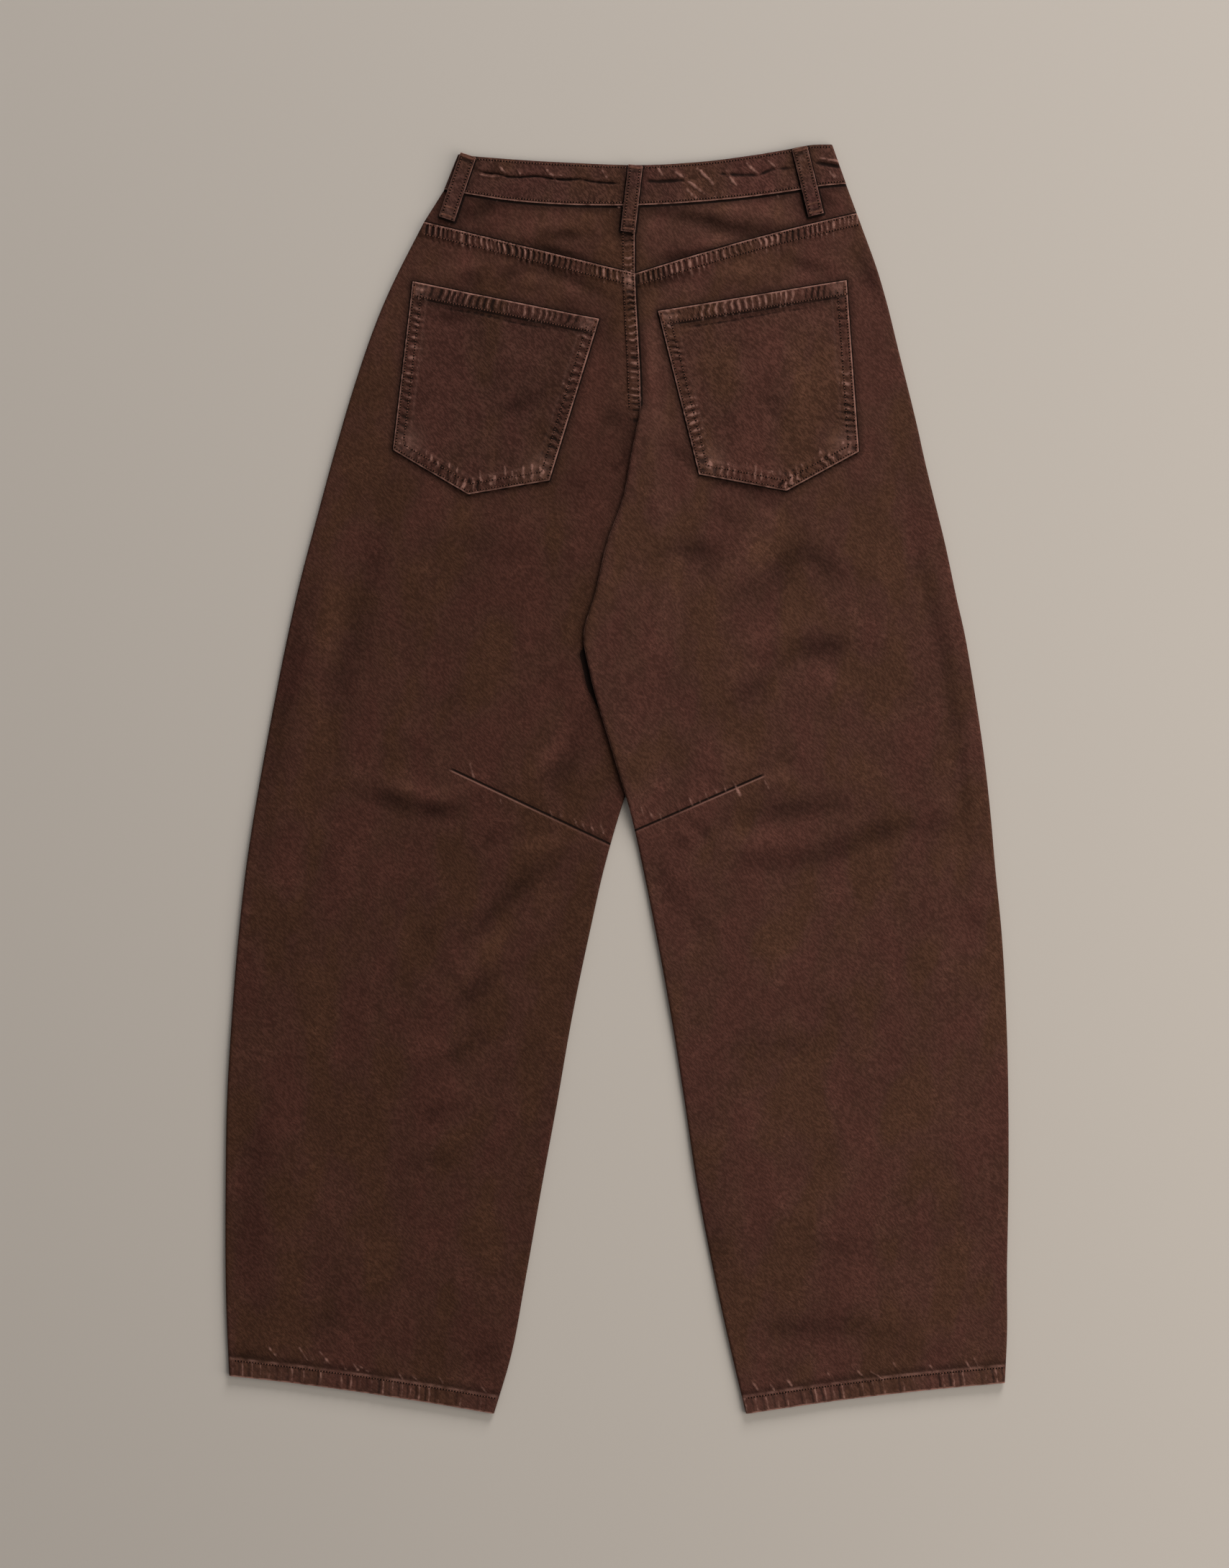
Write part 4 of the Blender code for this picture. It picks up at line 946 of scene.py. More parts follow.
def leg_rows(table, is_left, places, outer_gap=0.0, inner=None):
    """The rows of a leg panel, each from its left end to its right end."""
    outer_end = np.stack((curve(table, 2, places), curve(table, 3, places)), -1)
    inner_end = np.stack((inner(places), places), -1)
    pull = inner_end - outer_end
    outer_end = outer_end + pull / np.hypot(*pull.T)[:, None] * outer_gap
    bow = HEM_BOW * smoothstep((LEG_END + HEM_BOW_RUN - places) / HEM_BOW_RUN)
    if not is_left:
        bow = bow + YOKE_SEAM_BOW * smoothstep((places - LEG_TOP + SEAM_BOW_RUN) / SEAM_BOW_RUN)
    start, end = (outer_end, inner_end) if is_left else (inner_end, outer_end)
    start[0, 1] -= HALF_GAP
    end[0, 1] -= HALF_GAP
    outer_turn = np.full(len(places), math.pi)
    inner_turn = math.pi * smoothstep((LIFT_TOP - places) / TURN_FALL)
    turns = (outer_turn, inner_turn) if is_left else (inner_turn, outer_turn)
    return Rows(start, end, bow, *turns)


def row_line(rows, index, count=25):
    """One row as a line of points."""
    share = np.linspace(0.0, 1.0, count)[:, None]
    line = rows.start[index] + share * (rows.end[index] - rows.start[index])
    line[:, 1] += rows.bow[index] * 4 * (share * (1 - share))[:, 0]
    return line


LEFT_ROWS = leg_rows(LEFT_LEG, True, LEG_PLACES, inner=lambda y: centre_x(y) - HALF_GAP)
RIGHT_ROWS = leg_rows(RIGHT_LEG, False, LEG_PLACES, inner=lambda y: fold_x(y) + HALF_GAP)
LEFT_YOKE_SEAM, RIGHT_YOKE_SEAM = row_line(LEFT_ROWS, 0), row_line(RIGHT_ROWS, 0)
LEFT_HEM, RIGHT_HEM = row_line(LEFT_ROWS, -1), row_line(RIGHT_ROWS, -1)
print("rows down a leg:", len(LEG_PLACES))


# %% Seams of the legs
def moved(line, distance):
    """A line moved to its left hand by a distance."""
    line = np.asarray(line, float)
    along = np.gradient(line, axis=0)
    along /= np.hypot(*along.T)[:, None]
    return line + distance * np.stack((-along[:, 1], along[:, 0]), -1)


LEFT_HEM_TOP, RIGHT_HEM_TOP = moved(LEFT_HEM, HEM_DEPTH), moved(RIGHT_HEM, HEM_DEPTH)
seat_y = np.linspace(LEG_TOP, 292.0, 14)
CENTRE_SEAM = np.stack((centre_x(seat_y), seat_y), -1)
SEAT_SEAM = CENTRE_SEAM[:12]  # its part above the fold at the crotch
fold_y = np.linspace(318.0, -34.0, 60)
LEG_FOLD = np.stack((fold_x(fold_y), fold_y), -1)
LEFT_LEG_SEAMS = (
    Seam(LEFT_YOKE_SEAM, -1, FELL, 4.7, 0.82, reach=7.0, slant=-0.2, seed=11, rise=0.85),
    Seam(CENTRE_SEAM, -1, 10.0, 5.6, 0.8, reach=3.0, slant=0.15, seed=21, rise=0.9),
    Seam(LEFT_HEM_TOP, -1, HEM_DEPTH, 9.4, 0.45, 13.0, outside=0.25, slant=0.12, seed=31, rise=0.6),
)
RIGHT_LEG_SEAMS = (
    Seam(RIGHT_YOKE_SEAM, -1, FELL, 4.7, 0.82, reach=8.0, slant=0.2, seed=41, rise=0.85),
    Seam(RIGHT_HEM_TOP, -1, HEM_DEPTH, 9.8, 0.45, 14.0, outside=0.25, slant=-0.12, seed=51, rise=0.6),
)


def dart_values(dart, x, y):
    """Distance across a dart's line, share along it, and the depth and ridge of its furrow."""
    tip, inseam = np.array(dart[0]), np.array(dart[1])
    length = math.hypot(*(inseam - tip))
    dx, dy = (inseam - tip) / length
    share = ((x - tip[0]) * dx + (y - tip[1]) * dy) / length
    across = math.copysign(1.0, dx) * (dx * (y - tip[1]) - dy * (x - tip[0]))  # above 0 over the dart
    inside = smoothstep(share / 0.1)
    half = 0.9 + 0.8 * np.clip(share, 0.0, 1.0)
    furrow = -0.75 * np.exp(-((across / half) ** 2)) * inside
    wave = ripple(share * length + 0.25 * across, 9.0, 61)
    near = smoothstep((share - 0.1) / 0.7)
    fall = np.exp(-(((across - 4.0) / 3.6) ** 2)) + 0.2 * np.exp(-(((across + 4.0) / 3.0) ** 2))
    return across, share, furrow + 0.4 * wave * near * fall, 0.15 * wave * near * fall


def hem_rub(hem_top, x, y, seed):
    """The pale worn line along the top of a hem, and the slight wear of the hem under it."""
    across, along = beside(hem_top, x, y)
    line = (0.3 + 0.25 * uneven(along, 6.0, seed)) * np.exp(-((across / 1.0) ** 2))
    return line + 0.1 * smoothstep(-across / 2.0) * (0.6 + 0.4 * uneven(along, 23.0, seed + 1))


def painted_shade_above_hem(hem_top, x, y):
    """Distance from the painted shade line just above a hem, which comes and goes."""
    across, along = beside(hem_top, x, y)
    return np.abs(across - 2.3) + 1.25 + 0.35 * uneven(along, 8.0, 77)


HEM_BAR_SPACING = 8.4
BAR_WIDTH = 1.3
# The dark side of a bar is painted shade.
BAR_SHADE = 2.9  # a bar's dark side lies this far beside it
BAR_SHADE_WIDTH = 2.0


def with_hem_bars(ridge, hem_top, seed, x, y):
    """The ridge value with the thin pale bars that cross a hem, each with painted shade on one side."""
    across, along = beside(hem_top, x, y)
    thick = smoothstep(-across / 1.2) * smoothstep((HEM_DEPTH + across) / 1.5)
    wander = 2.6 * uneven(along, 16.0, seed) + 0.1 * across + 0.5 * uneven(across, 4.0, seed + 1)
    place = (along + wander) / HEM_BAR_SPACING
    off = (place - np.round(place)) * HEM_BAR_SPACING
    strength = 0.6 + 0.4 * uneven(np.round(place) * 7.0, 5.0, seed + 2)
    pale = 0.82 * np.exp(-((off / BAR_WIDTH) ** 2))
    bar_painted_shade = 0.62 * np.exp(-(((off + BAR_SHADE) / BAR_SHADE_WIDTH) ** 2))
    hem = smoothstep(1.0 - across / 1.5)
    return ridge * (1 - hem) + thick * strength * (pale - bar_painted_shade)


def painted_shadow_beside_fold(x, y):
    """Distance from the painted shadow beside the folded leg, which opens out below the crotch."""
    opening = smoothstep((112.0 - y) / 8.0) * smoothstep((y - 52.0) / 26.0)
    return np.maximum(1.7 * nearest_line((LEG_FOLD,), x, y) - 7.0 * opening, 0.0) + 1.1 * (1 - opening)


# %% Fine pulled lines
# Each is the start and the end of a short pale line where the sewing pulls at the cloth.
LEFT_PULLS = (
    ((-124.0, 17.6), (-118.5, -1.5)), ((-114.0, -9.0), (-110.0, -18.0)), ((-98.5, -13.0), (-96.0, -21.6)),
    ((-86.0, -18.0), (-83.0, -25.0)), ((-57.0, -24.8), (-53.0, -33.0)), ((-48.6, -27.0), (-43.0, -36.0)),
    ((-36.0, -31.0), (-32.7, -41.7)), ((-30.6, -33.0), (-26.0, -44.0)), ((-23.0, -35.0), (-19.0, -46.0)),
    ((-14.7, -36.0), (-10.4, -47.0)), ((-266.5, -472.0), (-257.0, -486.0)),
    ((-258.0, -478.0), (-253.0, -486.5)),
    ((-249.5, -476.0), (-237.0, -490.0)), ((-233.0, -483.0), (-226.0, -492.5)),
    ((-222.0, -485.0), (-214.0, -495.0)),
    ((-217.0, -488.0), (-206.0, -495.0)), ((-184.0, -492.0), (-178.0, -502.0)),
    ((-175.5, -494.6), (-163.0, -503.5)),
    ((-150.0, -496.0), (-144.0, -505.0)), ((-116.0, -503.5), (-107.5, -513.0)),
    ((-292.0, -472.0), (-284.0, -482.0)),
)
RIGHT_PULLS = (
    ((58.0, -12.0), (64.0, -24.0)), ((66.0, -12.0), (71.0, -22.0)), ((72.0, -8.0), (77.5, -20.5)),
    ((79.6, -6.0), (85.0, -14.0)), ((88.0, -3.6), (93.0, -14.0)), ((94.5, 1.7), (105.0, -16.0)),
    ((99.0, -7.0), (103.0, -16.0)), ((121.0, 1.7), (128.0, -10.0)), ((49.0, -20.0), (53.0, -29.0)),
    ((18.0, -19.5), (24.5, -35.0)), ((23.5, -20.5), (30.0, -33.0)), ((32.0, -24.0), (38.0, -35.0)),
    ((111.0, -500.0), (118.0, -510.5)), ((127.0, -503.5), (132.0, -511.0)),
    ((140.0, -499.0), (146.5, -507.0)),
    ((153.5, -498.0), (160.5, -507.0)), ((173.0, -491.0), (180.0, -501.7)),
    ((197.6, -491.0), (211.7, -503.5)),
    ((210.0, -493.0), (224.0, -501.7)), ((229.4, -485.0), (234.8, -494.0)),
    ((258.5, -485.6), (265.5, -494.7)),
    ((274.0, -485.5), (279.7, -494.0)), ((289.0, -483.0), (296.0, -493.0)),
    ((297.0, -482.0), (302.0, -492.0)),
)
PULL_WIDTH = 1.1
PULL_HEIGHT = 0.5
PULL_WEAR = 1.15

# %% Upper faces of the legs
Leg = namedtuple(
    "Leg", "folds seams pulls hem_top dart pocket worn_lines worn_spots shade free raised seed bar_seed"
)


def left_free(x, y):
    """1 where the left leg's cloth lies free, and 0 where the right one lies on it."""
    return np.where(y > LIFT_TOP, 1.0, smoothstep((fold_x(y) - x) / LIFT_RUN))


LEFT = Leg(
    folds=LEFT_FOLDS,
    seams=LEFT_LEG_SEAMS,
    pulls=LEFT_PULLS,
    hem_top=LEFT_HEM_TOP,
    dart=DART_LEFT,
    pocket=POCKET_LEFT,
    worn_lines=(LEFT_YOKE_SEAM, LEFT_HEM, CENTRE_SEAM),
    worn_spots=((10.0, 415.0, 4.5, 6.0),),  # where the yoke seams meet: place, half width and height
    shade=painted_shadow_beside_fold,
    free=left_free,
    raised=lambda x, y: np.zeros(np.shape(x)),
    seed=101,
    bar_seed=711,
)
RIGHT = Leg(
    folds=RIGHT_FOLDS,
    seams=RIGHT_LEG_SEAMS,
    pulls=RIGHT_PULLS,
    hem_top=RIGHT_HEM_TOP,
    dart=DART_RIGHT,
    pocket=POCKET_RIGHT,
    worn_lines=(RIGHT_YOKE_SEAM, RIGHT_HEM, LEG_FOLD - (0.6, 0.0)),
    worn_spots=(),
    # Painted shade beside the centre seam on the right leg.
    shade=lambda x, y: 0.75 * nearest_line((SEAT_SEAM,), x, y),
    free=lambda x, y: np.ones(np.shape(x)),
    raised=lift,
    seed=201,
    bar_seed=721,
)
SPOT_WEAR = 0.9


def leg_surface(leg):
    """The upper face of a back leg: its level, its relief and the values it carries."""

    def surface(x, y, fine=True):
        level = LIE + leg.raised(x, y)
        free = leg.free(x, y)
        fold_height, painted_fold_shade = folds(leg.folds, x, y)
        broad = resting(free * (fold_height + laid_unevenly(x, y, leg.seed)))
        if not fine:
            return level, broad, {}
        height, ridge = pucker(leg.seams, x, y)
        pulled, pulled_ridge = crease([(line, PULL_WIDTH, PULL_HEIGHT) for line in leg.pulls], x, y)
        ridge = with_hem_bars(ridge, leg.hem_top, leg.bar_seed, x, y) + PULL_WEAR * pulled_ridge
        across, share, furrow, dart_ridge = dart_values(leg.dart, x, y)
        pocket_edge = nearest_line((outline(leg.pocket),), x, y)
        rub = hem_rub(leg.hem_top, x, y, leg.seed + 30)
        for spot_x, spot_y, half_width, half_height in leg.worn_spots:
            off = ((x - spot_x) / half_width) ** 2 + ((y - spot_y) / half_height) ** 2
            rub = rub + SPOT_WEAR * np.exp(-off)
        values = {
            "ridge": ridge + dart_ridge,
            "fold": painted_fold_shade,
            "edge": nearest_line(leg.worn_lines, x, y),
            # Painted shade outside the pocket's outline, beside the folded leg or the seat seam, and just above
            # the hem.
            "painted_shade_distance": np.minimum.reduce((pocket_edge, leg.shade(x, y), painted_shade_above_hem(leg.hem_top, x, y))),
            "dart_across": across,
            "dart_share": share,
            "rub": rub,
        }
        return level, broad + free * height + pulled + furrow, values

    return surface


left_leg_surface, right_leg_surface = leg_surface(LEFT), leg_surface(RIGHT)

# %% Sew up the back legs
EDGE = np.linspace(0.0, math.pi * EDGE_RADIUS, 9)  # columns round a turned edge
LEG_MIDDLE_COLUMNS = 188
LEG_STEPS = (5, 6)  # the unseen inner face has one point for so many rows and columns


def make_leg(name, rows, surface, material):
    """A back leg with both its edges turned."""
    grid = laid_grid(rows, EDGE, EDGE, LEG_MIDDLE_COLUMNS, EDGE_RADIUS)
    kept = (len(EDGE) - 1, grid[0].shape[1] - len(EDGE))
    return sheet_on_grid(name, grid, surface, CLOTH, LEG_STEPS, kept, material)


back_leg_left = make_leg("back_leg_left_cloth", LEFT_ROWS, left_leg_surface, DENIM_LEFT_SHADED)
back_leg_right = make_leg("back_leg_right_cloth", RIGHT_ROWS, right_leg_surface, DENIM_RIGHT_LIT)

# %% [markdown]
# ## Yokes
#
# The two halves of the yoke fill the space between the waistband and the V seam. The leg's cloth
# is felled over them, so their lower edge lies a little below it and in its shade.


# %% Yokes
def waist_line(share, first=0.0, last=LAST_PLACE, drop=0.0, count=41):
    """A line along the waistband at one share of its height."""
    return waist_point(np.linspace(first, last, count), share, drop)


def trimmed(line, at_start, at_end, count=None):
    """A line with some length taken off its ends."""
    line = np.asarray(line, float)
    run = np.concatenate(([0.0], np.cumsum(np.hypot(*np.diff(line, axis=0).T))))
    at = np.linspace(at_start, run[-1] - at_end, count or len(line))
    return np.stack((np.interp(at, run, line[:, 0]), np.interp(at, run, line[:, 1])), -1)


def between_lines(top, low, rows, columns):
    """A grid of places between two lines."""
    share = np.linspace(0.0, 1.0, rows)[:, None, None]
    grid = (1 - share) * trimmed(top, 0, 0, columns) + share * trimmed(low, 0, 0, columns)
    return grid[..., 0], grid[..., 1]


def flat_sheet(name, x, y, surface, wall, steps, material, edge_turns=(False, False)):
    """A panel between two lines whose ends may turn over onto the floor."""
    count = len(EDGE) if any(edge_turns) else 0
    drop, turn = np.zeros(x.shape), np.zeros(x.shape)
    step_x, step_y = x[:, -1] - x[:, 0], y[:, -1] - y[:, 0]
    length = np.hypot(step_x, step_y)
    direction = np.stack((step_x / length, step_y / length), -1)
    inward, edge_drop, angle = (part[0] for part in turned(EDGE, np.array([math.pi]), EDGE_RADIUS))
    for turns_over, end, sign in zip(edge_turns, (0, -1), (1, -1)):
        for i in range(count if turns_over else 0):
            column = end + sign * i
            if i:
                x[:, column] = x[:, end] + sign * direction[:, 0] * inward[i]
                y[:, column] = y[:, end] + sign * direction[:, 1] * inward[i]
            drop[:, column], turn[:, column] = edge_drop[i], sign * angle[i]
    kept = [c for c in (count - 1, x.shape[1] - count) if 0 < c < x.shape[1]]
    return sheet_on_grid(name, (x, y, drop, turn, direction), surface, wall, steps, kept, material)


WAIST_LOW = waist_line(0.0, count=81)
YOKE_LEFT_FOLDS = (
    (((-132, 467), (-119, 472), (-107, 478), (-97, 480)), 5.0, -2.4),
    (((-100, 455), (-80, 460), (-60, 463), (-35, 464), (-16, 467)), 7.0, 1.5),
    (((-64, 454), (-46, 455), (-28, 456)), 4.5, -2.0),
    (((-78, 448), (-58, 442), (-40, 437), (-24, 431)), 4.0, -2.2),
    (((-112, 470), (-98, 466)), 5.0, 0.8),
    (((-10, 452), (-6, 440)), 6.0, 0.8),
    (((-34, 475), (-12, 456)), 4.0, 0.7),
)
YOKE_RIGHT_FOLDS = (
    (((20, 476), (40, 472), (60, 470), (75, 466), (88, 461), (105, 458), (130, 457), (152, 459)), 5, -2.4),
    (((52, 477), (85, 478), (112, 476), (140, 471)), 6.5, 1.3),
    (((44, 449), (60, 448), (85, 450), (112, 451)), 6.0, 0.7),
    (((24, 431), (40, 434), (60, 438), (74, 440)), 4.0, -1.8),
    (((24, 462), (38, 458)), 6.0, 0.9),
    (((158, 478), (172, 484), (186, 474)), 5.0, -1.2),
    (((178, 470), (190, 478)), 5.0, 0.8),
)


def loop_outline(top, low, width):
    """The sides and the lower end of a belt loop as a line."""
    top, low = np.array(top), np.array(low)
    run = (low - top) / math.hypot(*(low - top))
    side = np.array((-run[1], run[0])) * width / 2
    return np.array((top + side, low + side, low - side, top - side))


LOOP_OUTLINES = [loop_outline(*loop) for loop in LOOPS.values()]
YOKE_CENTRE_SEAM = np.array((waist_point(CENTRE_PLACE, 0.0), (15.0, LEG_TOP)))
BAND_SHADE = 0.8  # the waistband's shade on the yoke starts this far below its edge
LOOP_SHADE = 0.62  # the loops stand high, so their shade reaches further than a seam's
# Wear on the ridges and painted shade in the hollows of the yoke's puckers.
YOKE_WEAR_AND_SHADE = 0.8


def yoke_surface(is_left, seam_line, yoke_folds, seed):
    """The upper face of one half of the yoke. The centre seam's band lies on the left one."""
    seams = [
        Seam(WAIST_LOW, -1, 0.0, 7.0, 0.3, reach=11.0, slant=0.2, seed=seed),
        Seam(seam_line, 1, 0.0, 5.2, 0.26, reach=7.0, slant=0.1, seed=seed + 20),
    ]
    worn, shaded = [], [seam_line, WAIST_LOW - (0.0, BAND_SHADE)]
    (worn if is_left else shaded).append(YOKE_CENTRE_SEAM)
    if is_left:
        seams.append(Seam(YOKE_CENTRE_SEAM, -1, FELL, 5.6, 0.28, reach=6.0, slant=0.2, seed=21, rise=0.6))

    def surface(x, y, fine=True):
        fold_height, painted_fold_shade = folds(yoke_folds, x, y)
        broad = resting(fold_height + laid_unevenly(x, y, seed + 40))
        level = np.full(np.shape(x), LIE)
        if not fine:
            return level, broad, {}
        height, ridge = pucker(seams, x, y)
        values = {
            "ridge": YOKE_WEAR_AND_SHADE * ridge,
            "fold": painted_fold_shade,
            "edge": nearest_line(worn, x, y),
            # Painted shade under the felled edge of the leg and under the waistband, beside the centre seam on
            # the right half, and beside the loops.
            "painted_shade_distance": np.minimum(nearest_line(shaded, x, y), LOOP_SHADE * nearest_line(LOOP_OUTLINES, x, y)),
        }
        return level, broad + height, values

    return surface


def make_yoke(name, is_left, seam_line, surface, material):
    """One half of the yoke."""
    places = (0.0, CENTRE_PLACE) if is_left else (CENTRE_PLACE, LAST_PLACE)
    top = waist_line(0.0, *places, count=81) - np.array((0.0, HALF_GAP))
    low = seam_line + np.array((0.0, 2 * HALF_GAP))
    ends = (0.0, HALF_GAP) if is_left else (HALF_GAP, 0.0)
    x, y = between_lines(trimmed(top, *ends, 81), trimmed(low, *ends, 81), 44, 168)
    return flat_sheet(name, x, y, surface, CLOTH, (5, 6), material, (is_left, not is_left))


left_yoke_surface = yoke_surface(True, LEFT_YOKE_SEAM, YOKE_LEFT_FOLDS, 301)
right_yoke_surface = yoke_surface(False, RIGHT_YOKE_SEAM, YOKE_RIGHT_FOLDS, 351)
yoke_left = make_yoke("yoke_left_cloth", True, LEFT_YOKE_SEAM, left_yoke_surface, DENIM_LEFT_SHADED)
yoke_right = make_yoke("yoke_right_cloth", False, RIGHT_YOKE_SEAM, right_yoke_surface, DENIM_RIGHT_LIT)

# %% [markdown]
# ## Waistband
#
# The waistband is folded double, so it stands proud of the yoke and throws a thin shadow on it.
# Its upper half has creased where the waist was folded in wear, from the left loop to the
# centre, and fine light creases run across it at a slant.

# %% Waistband
BAND_PROUD = 0.7  # the waistband stands this much above its solid
# These scale wear on the ridges and painted shade in the furrows of the waistband.
BAND_PUCKER_WEAR_AND_SHADE = 0.7
BAND_CREASE_WEAR_AND_SHADE = 1.1
WAIST_CREASES = (
    # line, half width, height: a furrow below 0, a ridge above
    (
        (
            (-121, 508), (-108, 505), (-100, 504.6), (-90, 501.9),
            (-82, 501.6), (-67, 502.6), (-50, 500), (-40, 500.6),
        ),
        1.1, -1.8,
    ),
    (((-56, 500.8), (-44, 499.4), (-31, 500.2), (-18, 497.6), (5, 496.2)), 1.1, -1.6),
    (((-118, 504.5), (-106, 502.2), (-96, 501.6)), 1.1, 0.8),
    (((-62, 503.8), (-44, 502.6)), 1.1, 0.6),
    (((20, 499.2), (34, 498), (48, 498.6), (66, 500.5)), 1.7, -1.1),
    (((80, 505), (100, 503.5), (118, 503.5), (130, 508.5), (152, 509.5)), 1.6, -0.9),
    (((31.6, 513), (39.5, 501)), 1.5, 0.9),
    (((44, 509), (54, 502), (63.5, 495), (75.5, 485.6)), 1.5, 0.95),
    (((65, 511), (73, 503), (82, 494)), 1.5, 0.9),
    (((89.6, 509), (94, 502), (100, 493.5)), 1.4, 0.9),
    (((106, 515), (119, 502.5)), 1.5, 0.9),
    (((56, 493), (67, 483)), 1.4, 0.8),
    (((-62, 511), (-54, 503), (-48, 495)), 1.2, 0.75),
    (((-100, 512), (-92, 504)), 1.2, 0.9),
    (((-84, 509), (-80, 503)), 1.1, 0.8),
    (((-14, 510), (-8, 500)), 1.1, 0.7),
    (((163, 514), (173, 512.5), (187, 510)), 1.8, -1.5),
    (((165, 518), (175, 516.5), (187, 514)), 1.4, 0.75),
    (((176, 508), (182, 500)), 1.4, 0.7),
    (((124, 517), (134, 508)), 1.1, 0.8),
)
WAIST_TOP = waist_line(1.0, count=81)
BAND_SEAMS = (
    Seam(WAIST_LOW, 1, 3.0, 5.2, 0.3, reach=13.0, slant=-0.4, seed=401),
    Seam(WAIST_TOP, -1, 2.6, 5.4, 0.26, reach=10.0, slant=0.5, seed=411),
)


def band_surface(x, y, fine=True):
    """The upper face of the waistband's back run."""
    level = np.full(np.shape(x), BAND_LIE)
    low, high = (np.abs(beside(line, x, y)[0]) for line in (WAIST_LOW, WAIST_TOP))
    roll = -0.5 * np.exp(-low / 0.35) - 1.1 * np.exp(-high / 0.7)  # both edges round off
    broad = BAND_PROUD + 0.4 * rumple(x, y, 17.0, 421) + 0.2 * rumple(x, y, 8.0, 422)
    if not fine:
        return level, broad + roll, {}
    height, ridge = pucker(BAND_SEAMS, x, y)
    crease_height, crease_ridge = crease(WAIST_CREASES, x, y)
    creased = crease_ridge * (0.85 + 0.15 * uneven(x, 13.0, 431))
    values = {
        "ridge": BAND_PUCKER_WEAR_AND_SHADE * ridge + BAND_CREASE_WEAR_AND_SHADE * creased,
        "edge": low,
        # Painted shade beside the belt loops.
        "painted_shade_distance": nearest_line(LOOP_OUTLINES, x, y),
    }
    return level, broad + roll + height + crease_height, values


def band_rows(first, last, count, drop=0.0, ends=(0.0, 0.0)):
    """The waistband's places as lines from its upper to its lower edge."""
    shares = 1 - np.linspace(0.0, 1.0, count)
    grid = np.array([trimmed(waist_line(s, first, last, drop, 161), *ends, 340) for s in shares])
    grid[-1, :, 1] += HALF_GAP
    return grid[..., 0].copy(), grid[..., 1].copy()


band_x, band_y = band_rows(0.0, LAST_PLACE, 36)
waistband_back = flat_sheet(
    "waistband_back_cloth", band_x, band_y, band_surface, BAND_CLOTH, (4, 6), DENIM_TRIM, (True, True)
)


# %% [markdown]
# ## Patch pockets
#
# A pocket is sewn on with its edges turned under, so it is thickest along its outline. The hem
# at its top is turned twice. Puckers stand square to each edge, and the dye is worn off the
# outline and in a soft round at the lower corners.


# %% Patch pockets
POCKET_HEM = 13.0
POCKET_BAND = 12.5  # the turned edge shows this far in
POCKET_RISE = SEAM_GAP + CLOTH
POCKET_PROUD = 0.25  # a pocket stands this much above its solid
HALO_RADIUS = 12.0  # of the soft rub at a lower corner
TACK_RUB_RADIUS = 7.5  # of the rub at an upper corner
DARKEST_REACH = 40.0  # further from the edge nothing changes


def pocket_surface(corners, under, seed, hem_creases, pocket_folds):
    """The upper face of a pocket on the cloth under it."""
    corners = [np.array(c) for c in corners]
    sides = [np.array(pair) for pair in zip(corners, corners[1:] + corners[:1])]
    top, walls = sides[0], sides[1:]
    under_folds = RIGHT_FOLDS if corners[0][0] > 0 else LEFT_FOLDS
    middle = sum(corners) / len(corners)
    seams = [Seam(top, -1, POCKET_HEM, 5.4, 0.4, reach=5.0, slant=0.15, seed=seed, rise=0.5)]
    for i, wall in enumerate(walls, seed + 10):
        seams.append(Seam(wall, -1, POCKET_BAND, 6.6, 0.65, reach=7.0, slant=0.1, seed=i, rise=0.3))

    def surface(x, y, fine=True):
        level, broad, _ = under(x, y, False)
        level = level + POCKET_RISE
        fold_height, painted_fold_shade = folds(pocket_folds, x, y)
        broad = broad + fold_height
        if not fine:
            return level, broad, {}
        away = nearest_line(sides, x, y)
        height, ridge = pucker(seams, x, y)
        crease_height, crease_ridge = crease(hem_creases, x, y)
        halo, tacked = np.zeros(np.shape(x)), np.zeros(np.shape(x))
        for corner in (corners[2], corners[4]):
            towards = corner + 0.16 * (middle - corner)
            halo += np.exp(-((np.hypot(x - towards[0], y - towards[1]) / HALO_RADIUS) ** 2))
        for corner in corners[:2]:
            spot = corner + 0.07 * (middle - corner)
            tacked += np.exp(-((np.hypot(x - spot[0], 1.4 * (y - spot[1])) / TACK_RUB_RADIUS) ** 2))
        below = np.minimum(nearest_line(walls, x, y), DARKEST_REACH)
        turned_edge = np.exp(-(((below - POCKET_BAND - 0.6) / 0.9) ** 2))
        turned_edge *= 0.6 + 0.4 * uneven(x + y, 11.0, seed + 33)
        hem_line = np.abs(np.abs(beside(top, x, y)[0]) - POCKET_HEM)
        roll = -0.5 * np.exp(-away / 0.35)
        unevenness = 0.18 * rumple(x, y, 24.0, seed + 30) + 0.1 * rumple(x, y, 9.0, seed + 31)
        values = {
            "ridge": 0.9 * ridge * (0.55 + 0.45 * smoothstep((below - 2.0) / 5.0)) + crease_ridge,
            # The pocket carries its own folds' painted light and shade and part of those of the leg under it.
            "fold": painted_fold_shade + 0.6 * folds(under_folds, x, y)[1],
            "edge": away,
            # Painted shade along the lower line of the pocket's hem.
            "painted_shade_distance": hem_line + 0.5,
            "rub": 0.24 * halo + 0.16 * turned_edge + 0.4 * tacked,
        }
        return level, broad + POCKET_PROUD + roll + height + crease_height + unevenness, values

    return surface


def make_pocket(name, corners, surface, material):
    """A patch pocket as a sheet between its top edge and its lower edges."""
    top = np.array(corners[:2])
    low = np.array((corners[4], corners[3], corners[2]))
    x, y = between_lines(top, low, 124, 118)
    return flat_sheet(name, x, y, surface, CLOTH, (4, 4), material)


